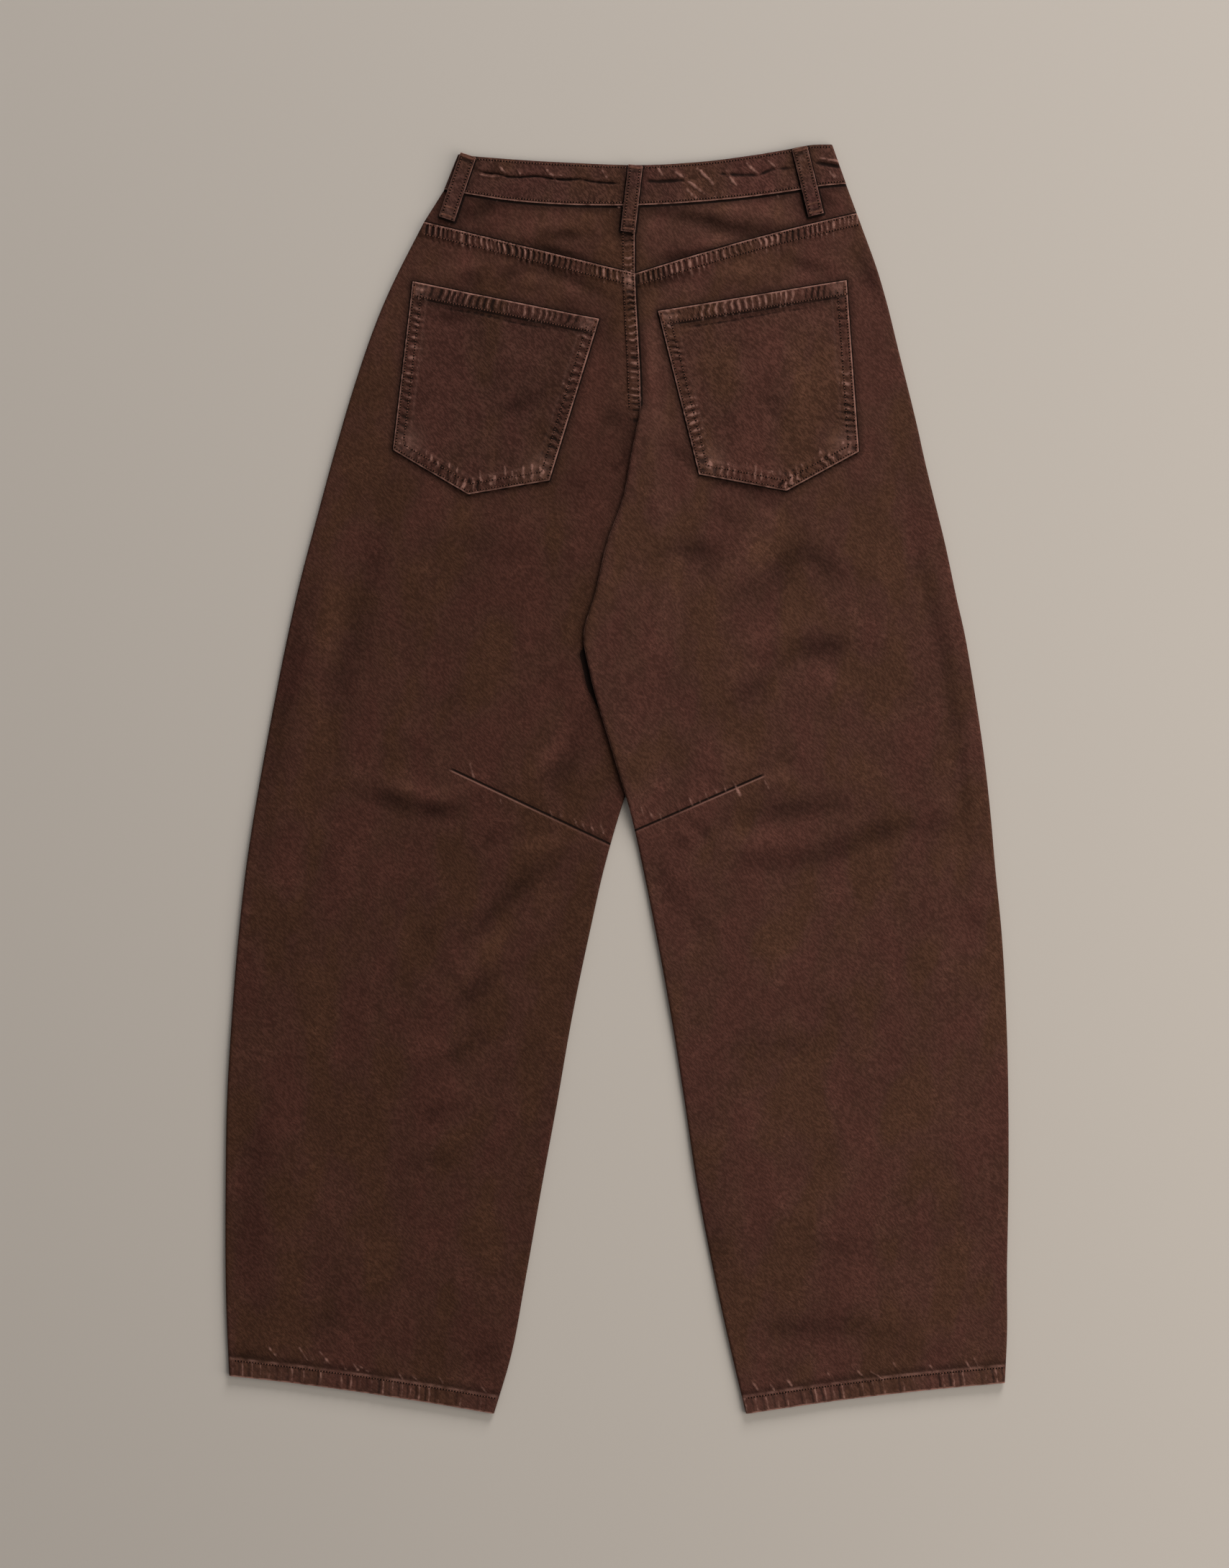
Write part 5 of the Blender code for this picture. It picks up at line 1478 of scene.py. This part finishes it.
def upright_pulls(corners, seed):
    """Short pale lines that stand over the two lower edges of a pocket."""
    random = np.random.default_rng(seed)
    lines = []
    for a, b in ((corners[4], corners[3]), (corners[3], corners[2])):
        a, b = np.array(a), np.array(b)
        length = math.hypot(*(b - a))
        for along in np.arange(9.0, length - 5.0, 7.5):
            foot = a + (b - a) * (along + random.uniform(-2.0, 2.0)) / length
            foot = foot + (0.0, random.uniform(3.0, 7.0))
            top = foot + (random.uniform(-2.0, 1.0), random.uniform(8.0, 14.0))
            lines.append((np.array((foot, top)), 1.1, random.uniform(0.4, 0.8)))
    return lines


POCKET_LEFT_CREASES = [
    (((-150.0, 393.0), (-120.0, 388.5), (-84.0, 380.0), (-46.0, 373.0)), 1.3, -0.7),
    *upright_pulls(POCKET_LEFT, 571),
]
POCKET_RIGHT_CREASES = [
    (((48.0, 375.0), (90.0, 381.0), (132.0, 389.0), (170.0, 394.0)), 1.3, -0.7),
    *upright_pulls(POCKET_RIGHT, 581),
]
left_pocket_surface = pocket_surface(POCKET_LEFT, left_leg_surface, 501, POCKET_LEFT_CREASES, POCKET_FOLDS)
right_pocket_surface = pocket_surface(POCKET_RIGHT, right_leg_surface, 551, POCKET_RIGHT_CREASES, ())
pocket_left = make_pocket("pocket_left_cloth", POCKET_LEFT, left_pocket_surface, DENIM_POCKET_LEFT_SHADED)
pocket_right = make_pocket("pocket_right_cloth", POCKET_RIGHT, right_pocket_surface, DENIM_POCKET_RIGHT_LIT)

# %% [markdown]
# ## Belt loops
#
# A loop is a strip folded in three. It arches over the waistband between its two tacked ends,
# with its folded edges rubbed pale.

# %% Belt loops
LOOP_ARCH = 0.9
LOOP_BASE = BAND_LIE + BAND_PROUD + 0.2
LOOP_TACKS = (0.09, 0.93)  # where the tacks press it down, as shares of its length
LOOP_EDGE_REACH = 4.0  # how far in from its edges it puckers


def make_loop(name, top, low, width, seed):
    """A belt loop from the middle of its top end to the middle of its lower end."""
    top, low = np.array(top), np.array(low)
    length = math.hypot(*(low - top))
    run = (low - top) / length
    side = np.array((-run[1], run[0]))
    share = np.linspace(0.0, 1.0, 64)[:, None]
    across = np.linspace(-0.5, 0.5, 22)[None, :]
    x = top[0] + run[0] * share * length + side[0] * across * width
    y = top[1] + run[1] * share * length + side[1] * across * width

    def surface(x, y, fine=True):
        along = ((x - top[0]) * run[0] + (y - top[1]) * run[1]) / length
        away = np.abs((x - top[0]) * side[0] + (y - top[1]) * side[1])
        arch = LOOP_ARCH * np.sin(math.pi * np.clip(along, 0.0, 1.0)) ** 0.6
        level = LOOP_BASE + LOOP_CLOTH + arch
        height = np.zeros(np.shape(x))
        if not fine:
            return level, height, {}
        inward = width / 2 - away
        tack = sum(np.exp(-(((along - place) / 0.035) ** 2)) for place in LOOP_TACKS)
        wave = ripple(along * length, 3.4, seed)
        ends = np.minimum(along, 1 - along) * length
        roll = -0.7 * np.exp(-inward / 0.5) - 0.5 * np.exp(-ends / 0.5)
        wave = wave * smoothstep((LOOP_EDGE_REACH - inward) / 3)
        height = roll + 0.12 * wave - 0.4 * tack + 0.14 * rumple(x, y, 6.0, seed + 3)
        rubbed = uneven(along * length, 14.0, seed + 5) + rumple(x, y, 3.0, seed + 6)
        values = {
            # The tacks press the loop down and darken it, partly as painted shade.
            "ridge": 0.5 * wave - 0.7 * tack,
            "edge": np.minimum(inward, ends) + 0.3,
            "painted_shade_distance": np.full(np.shape(x), 50.0),
            "rub": 0.22 * smoothstep(rubbed),
        }
        return level, height, values

    loop_surfaces[name.removesuffix("_cloth")] = surface
    return flat_sheet(name, x[:, ::-1].copy(), y[:, ::-1].copy(), surface, LOOP_CLOTH, (3, 3), DENIM_LOOP)


loop_surfaces = {}
loops = {}
for seed, (name, sizes) in zip((601, 610, 619), LOOPS.items()):
    loops[name] = make_loop(name + "_cloth", *sizes, seed)

# %% [markdown]
# ## Fronts
#
# The fronts lie on the floor and hardly show, only at the hems and from low down. They are
# single sheets on wider rows, with the same hems, and the front runs of the waistband lie above.


# %% Front legs
def left_front_inner(y):
    """Inner edge of the left front."""
    tuck = smoothstep((FRONT_TUCK_TOP - y) / FRONT_TUCK_FALL)
    return centre_x(y) - HALF_GAP - tuck * (EDGE_RADIUS + HALF_GAP)


def right_front_inner(y):
    """Inner edge of the right front: beside the left leg until it has risen, then over it."""
    beside_left = centre_x(y) + HALF_GAP + np.where(y <= LIFT_TOP, SEAM_GAP, 0.0)
    over = fold_x(y) + EDGE_RADIUS + SEAM_GAP
    swing = smoothstep((LIFT_TOP - LIFT_FALL - y) / FRONT_SWING_FALL)
    return (1 - swing) * beside_left + swing * over


def front_surface(is_left, hem):
    """The upper face of a front leg, which only its lift and its hem shape."""

    def surface(x, y, fine=True):
        level = CLOTH + (np.zeros(np.shape(x)) if is_left else lift(x, y))
        height = np.zeros(np.shape(x))
        from_hem = nearest_line((hem,), x, y)
        values = {"edge": from_hem, "ridge": 0.6 * ripple(x, 7.0, 71) * (from_hem < HEM_DEPTH)}
        return level, height, values if fine else {}

    return surface


def make_front(name, table, is_left, inner):
    """One front leg, from the waistband to its hem."""
    rows = leg_rows(table, is_left, FRONT_PLACES, EDGE_RADIUS + SEAM_GAP, inner)
    side = BAND_RADIUS + SEAM_GAP
    places, ends = (CENTRE_PLACE, LAST_PLACE), (HALF_GAP, side)
    if is_left:
        places, ends = (0.0, CENTRE_PLACE), (side, HALF_GAP)
    top = trimmed(waist_line(0.0, *places, FRONT_DROP, 25), *ends) - np.array((0.0, FRONT_SEAM_GAP))
    lines = [top] + [row_line(rows, i) for i in range(len(FRONT_PLACES))]
    grid = np.array([trimmed(line, 0, 0, 90) for line in lines])
    surface = front_surface(is_left, row_line(rows, -1))
    return flat_sheet(name, grid[..., 0].copy(), grid[..., 1].copy(), surface, CLOTH, (1, 1), DENIM_FRONT)


front_leg_left = make_front("front_leg_left_cloth", LEFT_LEG, True, left_front_inner)
front_leg_right = make_front("front_leg_right_cloth", RIGHT_LEG, False, right_front_inner)


# %% Front runs of the waistband
BUTTON_RADIUS = 8.5
BUTTON_FROM_CENTRE = 15.0
BUTTON_ROOM = 1.7
button_middle = waist_point(CENTRE_PLACE, 0.5, FRONT_DROP) - np.array((BUTTON_FROM_CENTRE, 0.0))


def make_front_band(name, first, last, ends):
    """One front run of the waistband, with room underneath for the button."""
    x, y = band_rows(first, last, 22, FRONT_DROP, ends)
    x, y = x[:, ::2], y[:, ::2]
    upper = np.stack((x, y, np.full(x.shape, BAND_CLOTH)), -1)
    away = np.hypot(x - button_middle[0], y - button_middle[1])
    room = BUTTON_ROOM * (1 - smoothstep((away - BUTTON_RADIUS - SEAM_GAP) / 2.0))
    lower = np.stack((x, y, room), -1)
    rows, columns = stops(x.shape[0], 1), stops(x.shape[1], 1)
    edge = np.minimum(*(np.abs(beside(upper[end, :, :2], x, y)[0]) for end in (0, -1)))
    return cloth_piece(name, upper, lower, rows, columns, {"edge": edge}, DENIM_TRIM)


BAND_SIDE = BAND_RADIUS + SEAM_GAP
waistband_front_left = make_front_band(
    "waistband_front_left_cloth", 0.0, CENTRE_PLACE, (BAND_SIDE, HALF_GAP)
)
waistband_front_right = make_front_band(
    "waistband_front_right_cloth", CENTRE_PLACE, LAST_PLACE, (HALF_GAP, BAND_SIDE)
)

# %% [markdown]
# ## Stitches
#
# Brown thread of the cloth's own colour holds every seam. Geometry Nodes set one stitch after
# another along each line of sewing: the line is cut at the stitch pitch, and a small lozenge of
# thread is put at each point, turned along the line. The needle holes between the stitches get
# painted shade, near-black lozenges from the same tree, moved on by half a stitch.


# %% The sewing tree
SEWING_SIZES = (
    # name, value: millimetres, but Turn in radians and Uneven as a share
    ("Pitch", 2.7),
    ("Shift", 0.0),
    ("Length", 2.1),
    ("Width", 0.7),
    ("Thickness", 0.5),
    ("Turn", 0.0),
    ("Uneven", 0.12),
)


def sewing_tree():
    """Geometry Nodes that put small lozenges along lines."""
    tree = bpy.data.node_groups.new("sewing", "GeometryNodeTree")
    face = tree.interface
    face.new_socket("Lines", in_out="INPUT", socket_type="NodeSocketGeometry")
    for label, value in SEWING_SIZES:
        face.new_socket(label, in_out="INPUT", socket_type="NodeSocketFloat").default_value = value
    face.new_socket("Seed", in_out="INPUT", socket_type="NodeSocketInt").default_value = 7
    face.new_socket("Finish", in_out="INPUT", socket_type="NodeSocketMaterial")
    face.new_socket("Stitches", in_out="OUTPUT", socket_type="NodeSocketGeometry")
    given = tree.nodes.new("NodeGroupInput").outputs
    out = tree.nodes.new("NodeGroupOutput").inputs

    def metres(name):
        return math_node(tree, "MULTIPLY", given[name], MM)

    lines = add_node(tree, "GeometryNodeMeshToCurve", {"Mesh": given["Lines"]})[0]
    fed = {"Curve": lines, "Length": metres("Pitch")}
    points = add_node(tree, "GeometryNodeResampleCurve", fed, mode="LENGTH")[0]
    tangent = add_node(tree, "GeometryNodeInputTangent")[0]
    move = scaled_node(tree, tangent, metres("Shift"))
    place = add_node(tree, "GeometryNodeSetPosition", {"Geometry": points, "Offset": move})[0]
    align = add_node(tree, "FunctionNodeAlignRotationToVector", {"Vector": tangent}, axis="X")[0]
    random = add_node(tree, "FunctionNodeRandomValue", {"Seed": given["Seed"]}, data_type="FLOAT")[1]
    swing = math_node(tree, "MULTIPLY", math_node(tree, "SUBTRACT", random, 0.5), given["Uneven"])
    angle = math_node(tree, "ADD", given["Turn"], math_node(tree, "MULTIPLY", swing, 2.0))
    euler = add_node(tree, "ShaderNodeCombineXYZ", {"Z": angle})[0]
    spin = add_node(tree, "FunctionNodeEulerToRotation", {0: euler})[0]
    spin = add_node(tree, "FunctionNodeRotateRotation", {0: align, 1: spin}, rotation_space="LOCAL")[0]
    fed = {"Segments": 8, "Rings": 4, "Radius": 0.5}
    lozenge = add_node(tree, "GeometryNodeMeshUVSphere", fed)["Mesh"]
    grown = math_node(tree, "ADD", swing, 1.0)
    fed = {
        axis: math_node(tree, "MULTIPLY", metres(name), grown)
        for axis, name in (("X", "Length"), ("Y", "Width"), ("Z", "Thickness"))
    }
    size = add_node(tree, "ShaderNodeCombineXYZ", fed)[0]
    fed = {"Points": place, "Instance": lozenge, "Rotation": spin, "Scale": size}
    stitches = add_node(tree, "GeometryNodeInstanceOnPoints", fed)[0]
    stitches = add_node(tree, "GeometryNodeRealizeInstances", {0: stitches})[0]
    stitches = add_node(tree, "GeometryNodeSetShadeSmooth", {"Geometry": stitches})[0]
    fed = {"Geometry": stitches, "Material": given["Finish"]}
    feed(tree, out["Stitches"], add_node(tree, "GeometryNodeSetMaterial", fed)[0])
    return tree


SEWING = sewing_tree()


def sew(name, paths, finish, **sizes):
    """One mesh of stitches along some paths of points in millimetres."""
    points, edges = [], []
    for path in paths:
        edges += [(len(points) + i, len(points) + i + 1) for i in range(len(path) - 1)]
        points += [tuple(float(c) * MM for c in p) for p in path]
    mesh = bpy.data.meshes.new(name)
    mesh.from_pydata(points, edges, [])
    piece = bpy.data.objects.new(name, mesh)
    bpy.context.collection.objects.link(piece)
    modifier = piece.modifiers.new("sewing", "NODES")
    modifier.node_group = SEWING
    sizes["Finish"] = finish
    for item in SEWING.interface.items_tree:
        if item.in_out == "INPUT" and item.name in sizes:
            modifier[item.identifier] = sizes[item.name]
    graph = bpy.context.evaluated_depsgraph_get()
    sewn = bpy.data.meshes.new_from_object(piece.evaluated_get(graph), depsgraph=graph)
    piece.modifiers.clear()
    piece.data = sewn
    print(name, "faces:", len(sewn.polygons))
    return piece


# %% Lines of sewing
PITCH = 2.4
THREAD_PROUD = 0.06  # the middle of a stitch lies this far above the cloth
POINT_STEP = 1.2
FELLED_ROWS = (1.7, FELL - 1.6)  # a felled seam has two rows of stitches, so far below the seam
SIDE_MARGIN = 1.6  # a tack across a belt loop ends this far in from its sides
LOOP_SEWING_IN = 2.2
TACK_FROM_END = (2.5, 9.5)
TACK_IN = 2.2
TACK_LENGTH = 10.0


def on_cloth(line, surface):
    """A line in plan laid on the cloth, with a point about every millimetre."""
    line = trimmed(line, 0, 0, max(2, round(line_length(line) / POINT_STEP)))
    level, height, _ = surface(line[:, 0], line[:, 1])
    return np.column_stack((line, level + height + THREAD_PROUD))


def sewn_beside(line, distance, ends, surface):
    """A row of sewing at a distance from a seam, that stops short of its ends."""
    line = moved(line, distance)
    return on_cloth(trimmed(line, *ends, max(2, len(line))), surface)


def inset(corners, distance):
    """A closed outline moved in by a distance on every side, as open lines."""
    corners = [np.array(c) for c in corners]
    middle = sum(corners) / len(corners)
    sides = []
    for a, b in zip(corners, corners[1:] + corners[:1]):
        direction = (b - a) / math.hypot(*(b - a))
        normal = np.array((-direction[1], direction[0]))
        normal *= math.copysign(1.0, float(normal @ (middle - a)))
        sides.append((a + normal * distance, direction))
    moved_corners = []
    for i in range(len(corners)):
        (p, d), (q, e) = sides[i - 1], sides[i]
        reach = ((q[0] - p[0]) * e[1] - (q[1] - p[1]) * e[0]) / (d[0] * e[1] - d[1] * e[0])
        moved_corners.append(p + d * reach)
    return moved_corners


def pocket_lines(corners, surface):
    """Two rows of sewing round a pocket's sides, and one along its hem."""
    lines = []
    for distance in (1.9, 8.2):
        c = inset(corners, distance)
        lines.append(on_cloth(np.array((c[1], c[2], c[3], c[4], c[0])), surface))
    c = inset(corners, POCKET_HEM - 1.5)
    hem = np.array((c[0], c[1]))
    direction = (hem[1] - hem[0]) / math.hypot(*(hem[1] - hem[0]))
    reach = POCKET_HEM - 3.4
    lines.append(on_cloth(np.array((hem[0] - direction * reach, hem[1] + direction * reach)), surface))
    return lines


FELLED_SEAMS = (
    # seam, how far its stitches stop short of its two ends, the cloth they lie on
    (LEFT_YOKE_SEAM, (3.0, 3.0), left_leg_surface),
    (RIGHT_YOKE_SEAM, (3.0, 3.0), right_leg_surface),
    (YOKE_CENTRE_SEAM, (1.0, 1.5), left_yoke_surface),
)
sewing_lines, tack_lines = [], []
for seam, ends, surface in FELLED_SEAMS:
    for distance in FELLED_ROWS:
        sewing_lines.append(sewn_beside(seam, -distance, ends, surface))
for distance in FELLED_ROWS:
    sewing_lines.append(on_cloth(moved(SEAT_SEAM, -distance), left_leg_surface))
for hem_top, surface in ((LEFT_HEM_TOP, left_leg_surface), (RIGHT_HEM_TOP, right_leg_surface)):
    sewing_lines.append(sewn_beside(hem_top, -1.6, (3.0, 3.0), surface))
sewing_lines.append(sewn_beside(WAIST_LOW, 2.2, (4.0, 4.0), band_surface))
sewing_lines.append(sewn_beside(WAIST_TOP, -2.4, (4.0, 4.0), band_surface))
sewing_lines += pocket_lines(POCKET_LEFT, left_pocket_surface)
sewing_lines += pocket_lines(POCKET_RIGHT, right_pocket_surface)


def across_strip(name, at, margin):
    """A line across a belt loop at a distance from its top end, or from its lower one if below 0."""
    top, low, width = (np.array(part, float) for part in LOOPS[name])
    length = math.hypot(*(low - top))
    run = (low - top) / length
    side = np.array((-run[1], run[0])) * (width / 2 - margin)
    middle = top + run * (at if at > 0 else length + at)
    return np.array((middle - side, middle + side))


for name, surface in loop_surfaces.items():
    first, last = (across_strip(name, at, LOOP_SEWING_IN) for at in (2.0, -2.0))
    for side in (0, 1):
        sewing_lines.append(on_cloth(np.array((first[side], last[side])), surface))
    for at in (TACK_FROM_END[0], -TACK_FROM_END[0], -TACK_FROM_END[1]):
        tack_lines.append(on_cloth(across_strip(name, at, SIDE_MARGIN), surface))
for corners, surface in ((POCKET_LEFT, left_pocket_surface), (POCKET_RIGHT, right_pocket_surface)):
    c = inset(corners, TACK_IN)
    for corner, along_side in ((c[0], c[4]), (c[1], c[2])):
        run = (along_side - corner) / math.hypot(*(along_side - corner))
        tack_lines.append(on_cloth(np.array((corner, corner + TACK_LENGTH * run)), surface))
STITCH = {"Pitch": PITCH, "Length": 1.4, "Width": 0.75, "Thickness": 0.6, "Seed": 5}
PIT = {"Pitch": PITCH, "Shift": PITCH / 2, "Length": 1.3, "Width": 1.5, "Thickness": 0.4, "Seed": 6}
TACK = {"Pitch": 0.7, "Length": 2.3, "Width": 0.7, "Thickness": 0.5, "Turn": math.pi / 2, "Seed": 8}
stitching = sew("stitching", sewing_lines, THREAD, **STITCH)
# The needle holes get near-black lozenges: painted shade.
pit_shades = sew("pit_shades", sewing_lines, PIT_SHADE, **PIT)
tacks = sew("tacks", tack_lines, THREAD, **TACK)

# %% [markdown]
# ## Putting the pieces into the model
#
# Every piece rides on the one body. The sheets stand for the imported solids, and each says the
# size that it was cut to. The hidden fly piece and the button keep their solids.


# %% Ride and replace
def half_surface(piece):
    """Area of one face of a closed sheet, in square metres."""
    return sum(p.area for p in piece.data.polygons) / 2


SHEETS = (
    # piece, node, slot, width, length, what it lies on
    (front_leg_left, "front_leg_left", "denim_front", 0.33, 1.02, ()),
    (front_leg_right, "front_leg_right", "denim_front", 0.33, 1.02, (back_leg_left,)),
    (waistband_front_left, "waistband_front_left", "denim_trim", 0.175, 0.04, ()),
    (waistband_front_right, "waistband_front_right", "denim_trim", 0.185, 0.04, ()),
    (back_leg_left, "back_leg_left", "denim_left", 0.33, 0.99, (front_leg_left,)),
    (back_leg_right, "back_leg_right", "denim_right", 0.33, 0.99, (front_leg_right, back_leg_left)),
    (yoke_left, "yoke_left", "denim_left", 0.2, 0.075, (front_leg_left,)),
    (yoke_right, "yoke_right", "denim_right", 0.21, 0.075, (front_leg_right,)),
    (waistband_back, "waistband_back", "denim_trim", 0.35, 0.04, (waistband_front_left, waistband_front_right)),
    (pocket_left, "pocket_left", "denim_pocket", 0.17, 0.18, (back_leg_left,)),
    (pocket_right, "pocket_right", "denim_pocket", 0.17, 0.18, (back_leg_right,)),
    (loops["belt_loop_left"], "belt_loop_left", "denim_trim", 0.0135, 0.057, (waistband_back,)),
    (loops["belt_loop_centre"], "belt_loop_centre", "denim_trim", 0.012, 0.056, (waistband_back,)),
    (loops["belt_loop_right"], "belt_loop_right", "denim_trim", 0.013, 0.058, (waistband_back,)),
)
for piece, node, slot, width, length, below in SHEETS:
    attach(piece, "root")
    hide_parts(node)
    area = half_surface(piece)
    share = round(area / (width * length), 2)
    print(node, "cut", width, "x", length, "m, area", round(area, 4), "share", share)
    area = min(area, width * length)
for piece in (stitching, pit_shades, tacks):
    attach(piece, "root")
for node, finish in (("fly", DENIM_FRONT), ("fly_button", BUTTON_METAL)):
    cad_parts[node].material_slots[0].material = finish

# %% [markdown]
# ## Floor, light and camera
#
# The camera looks straight down, as in the photograph, with the waist at the top. One broad soft
# light comes from above the waist, low enough to draw the puckers. A second one, warmer and much
# weaker, and a dim even sky fill in.

# %% Floor
FLOOR_SIDE = 8.0
FLOOR_LEVEL = -0.0004
FLOOR_TONE = (180, 173, 165)
half = FLOOR_SIDE / 2
corners = [(x * half, y * half, FLOOR_LEVEL) for x, y in ((-1, -1), (1, -1), (1, 1), (-1, 1))]
floor_mesh = bpy.data.meshes.new("floor")
floor_mesh.from_pydata(corners, [], [(0, 1, 2, 3)])
floor = bpy.data.objects.new("floor", floor_mesh)
bpy.context.collection.objects.link(floor)
floor_finish = bpy.data.materials.new("floor")
floor_finish.use_nodes = True
floor_sockets = floor_finish.node_tree.nodes["Principled BSDF"].inputs
floor_sockets["Base Color"].default_value = tone(*FLOOR_TONE)
floor_sockets["Roughness"].default_value = 0.9
floor.data.materials.append(floor_finish)


# %% Light
def soft_light(name, place, size, power, colour):
    """A square soft light that looks at the middle of the garment."""
    data = bpy.data.lights.new(name, "AREA")
    data.shape, data.size, data.energy, data.color = "SQUARE", size, power, colour
    light = bpy.data.objects.new(name, data)
    light.location = place
    light.rotation_euler = (-Vector(place)).to_track_quat("-Z", "Y").to_euler()
    bpy.context.collection.objects.link(light)
    return light


soft_light("key", (1.5, 4.45, 2.2), 2.2, 236.0, (1.0, 0.98, 0.97))
soft_light("fill", (1.8, -0.5, 1.6), 2.2, 41.0, (1.0, 0.945, 0.88))
world = bpy.data.worlds.new("studio")
bpy.context.scene.world = world
world.use_nodes = True
sky = world.node_tree.nodes["Background"].inputs
sky["Color"].default_value = (1.0, 0.98, 0.96, 1.0)
sky["Strength"].default_value = 0.27

# %% Camera
PHOTO_HEIGHT_MM = 1307.4  # what the photograph covers of the floor, from top to bottom
PHOTO_MIDDLE = (-2.1, -4.2)
CAMERA_HEIGHT = 2.4
camera_data = bpy.data.cameras.new("camera")
camera_data.sensor_width = 36.0
camera_data.lens = camera_data.sensor_width * (CAMERA_HEIGHT - LIE * MM) / (PHOTO_HEIGHT_MM * MM)
camera = bpy.data.objects.new("camera", camera_data)
camera.location = (PHOTO_MIDDLE[0] * MM, PHOTO_MIDDLE[1] * MM, CAMERA_HEIGHT)
bpy.context.collection.objects.link(camera)
bpy.context.scene.camera = camera
bpy.context.scene.view_settings.view_transform = "Standard"
print("lens:", round(camera_data.lens, 1), "mm")
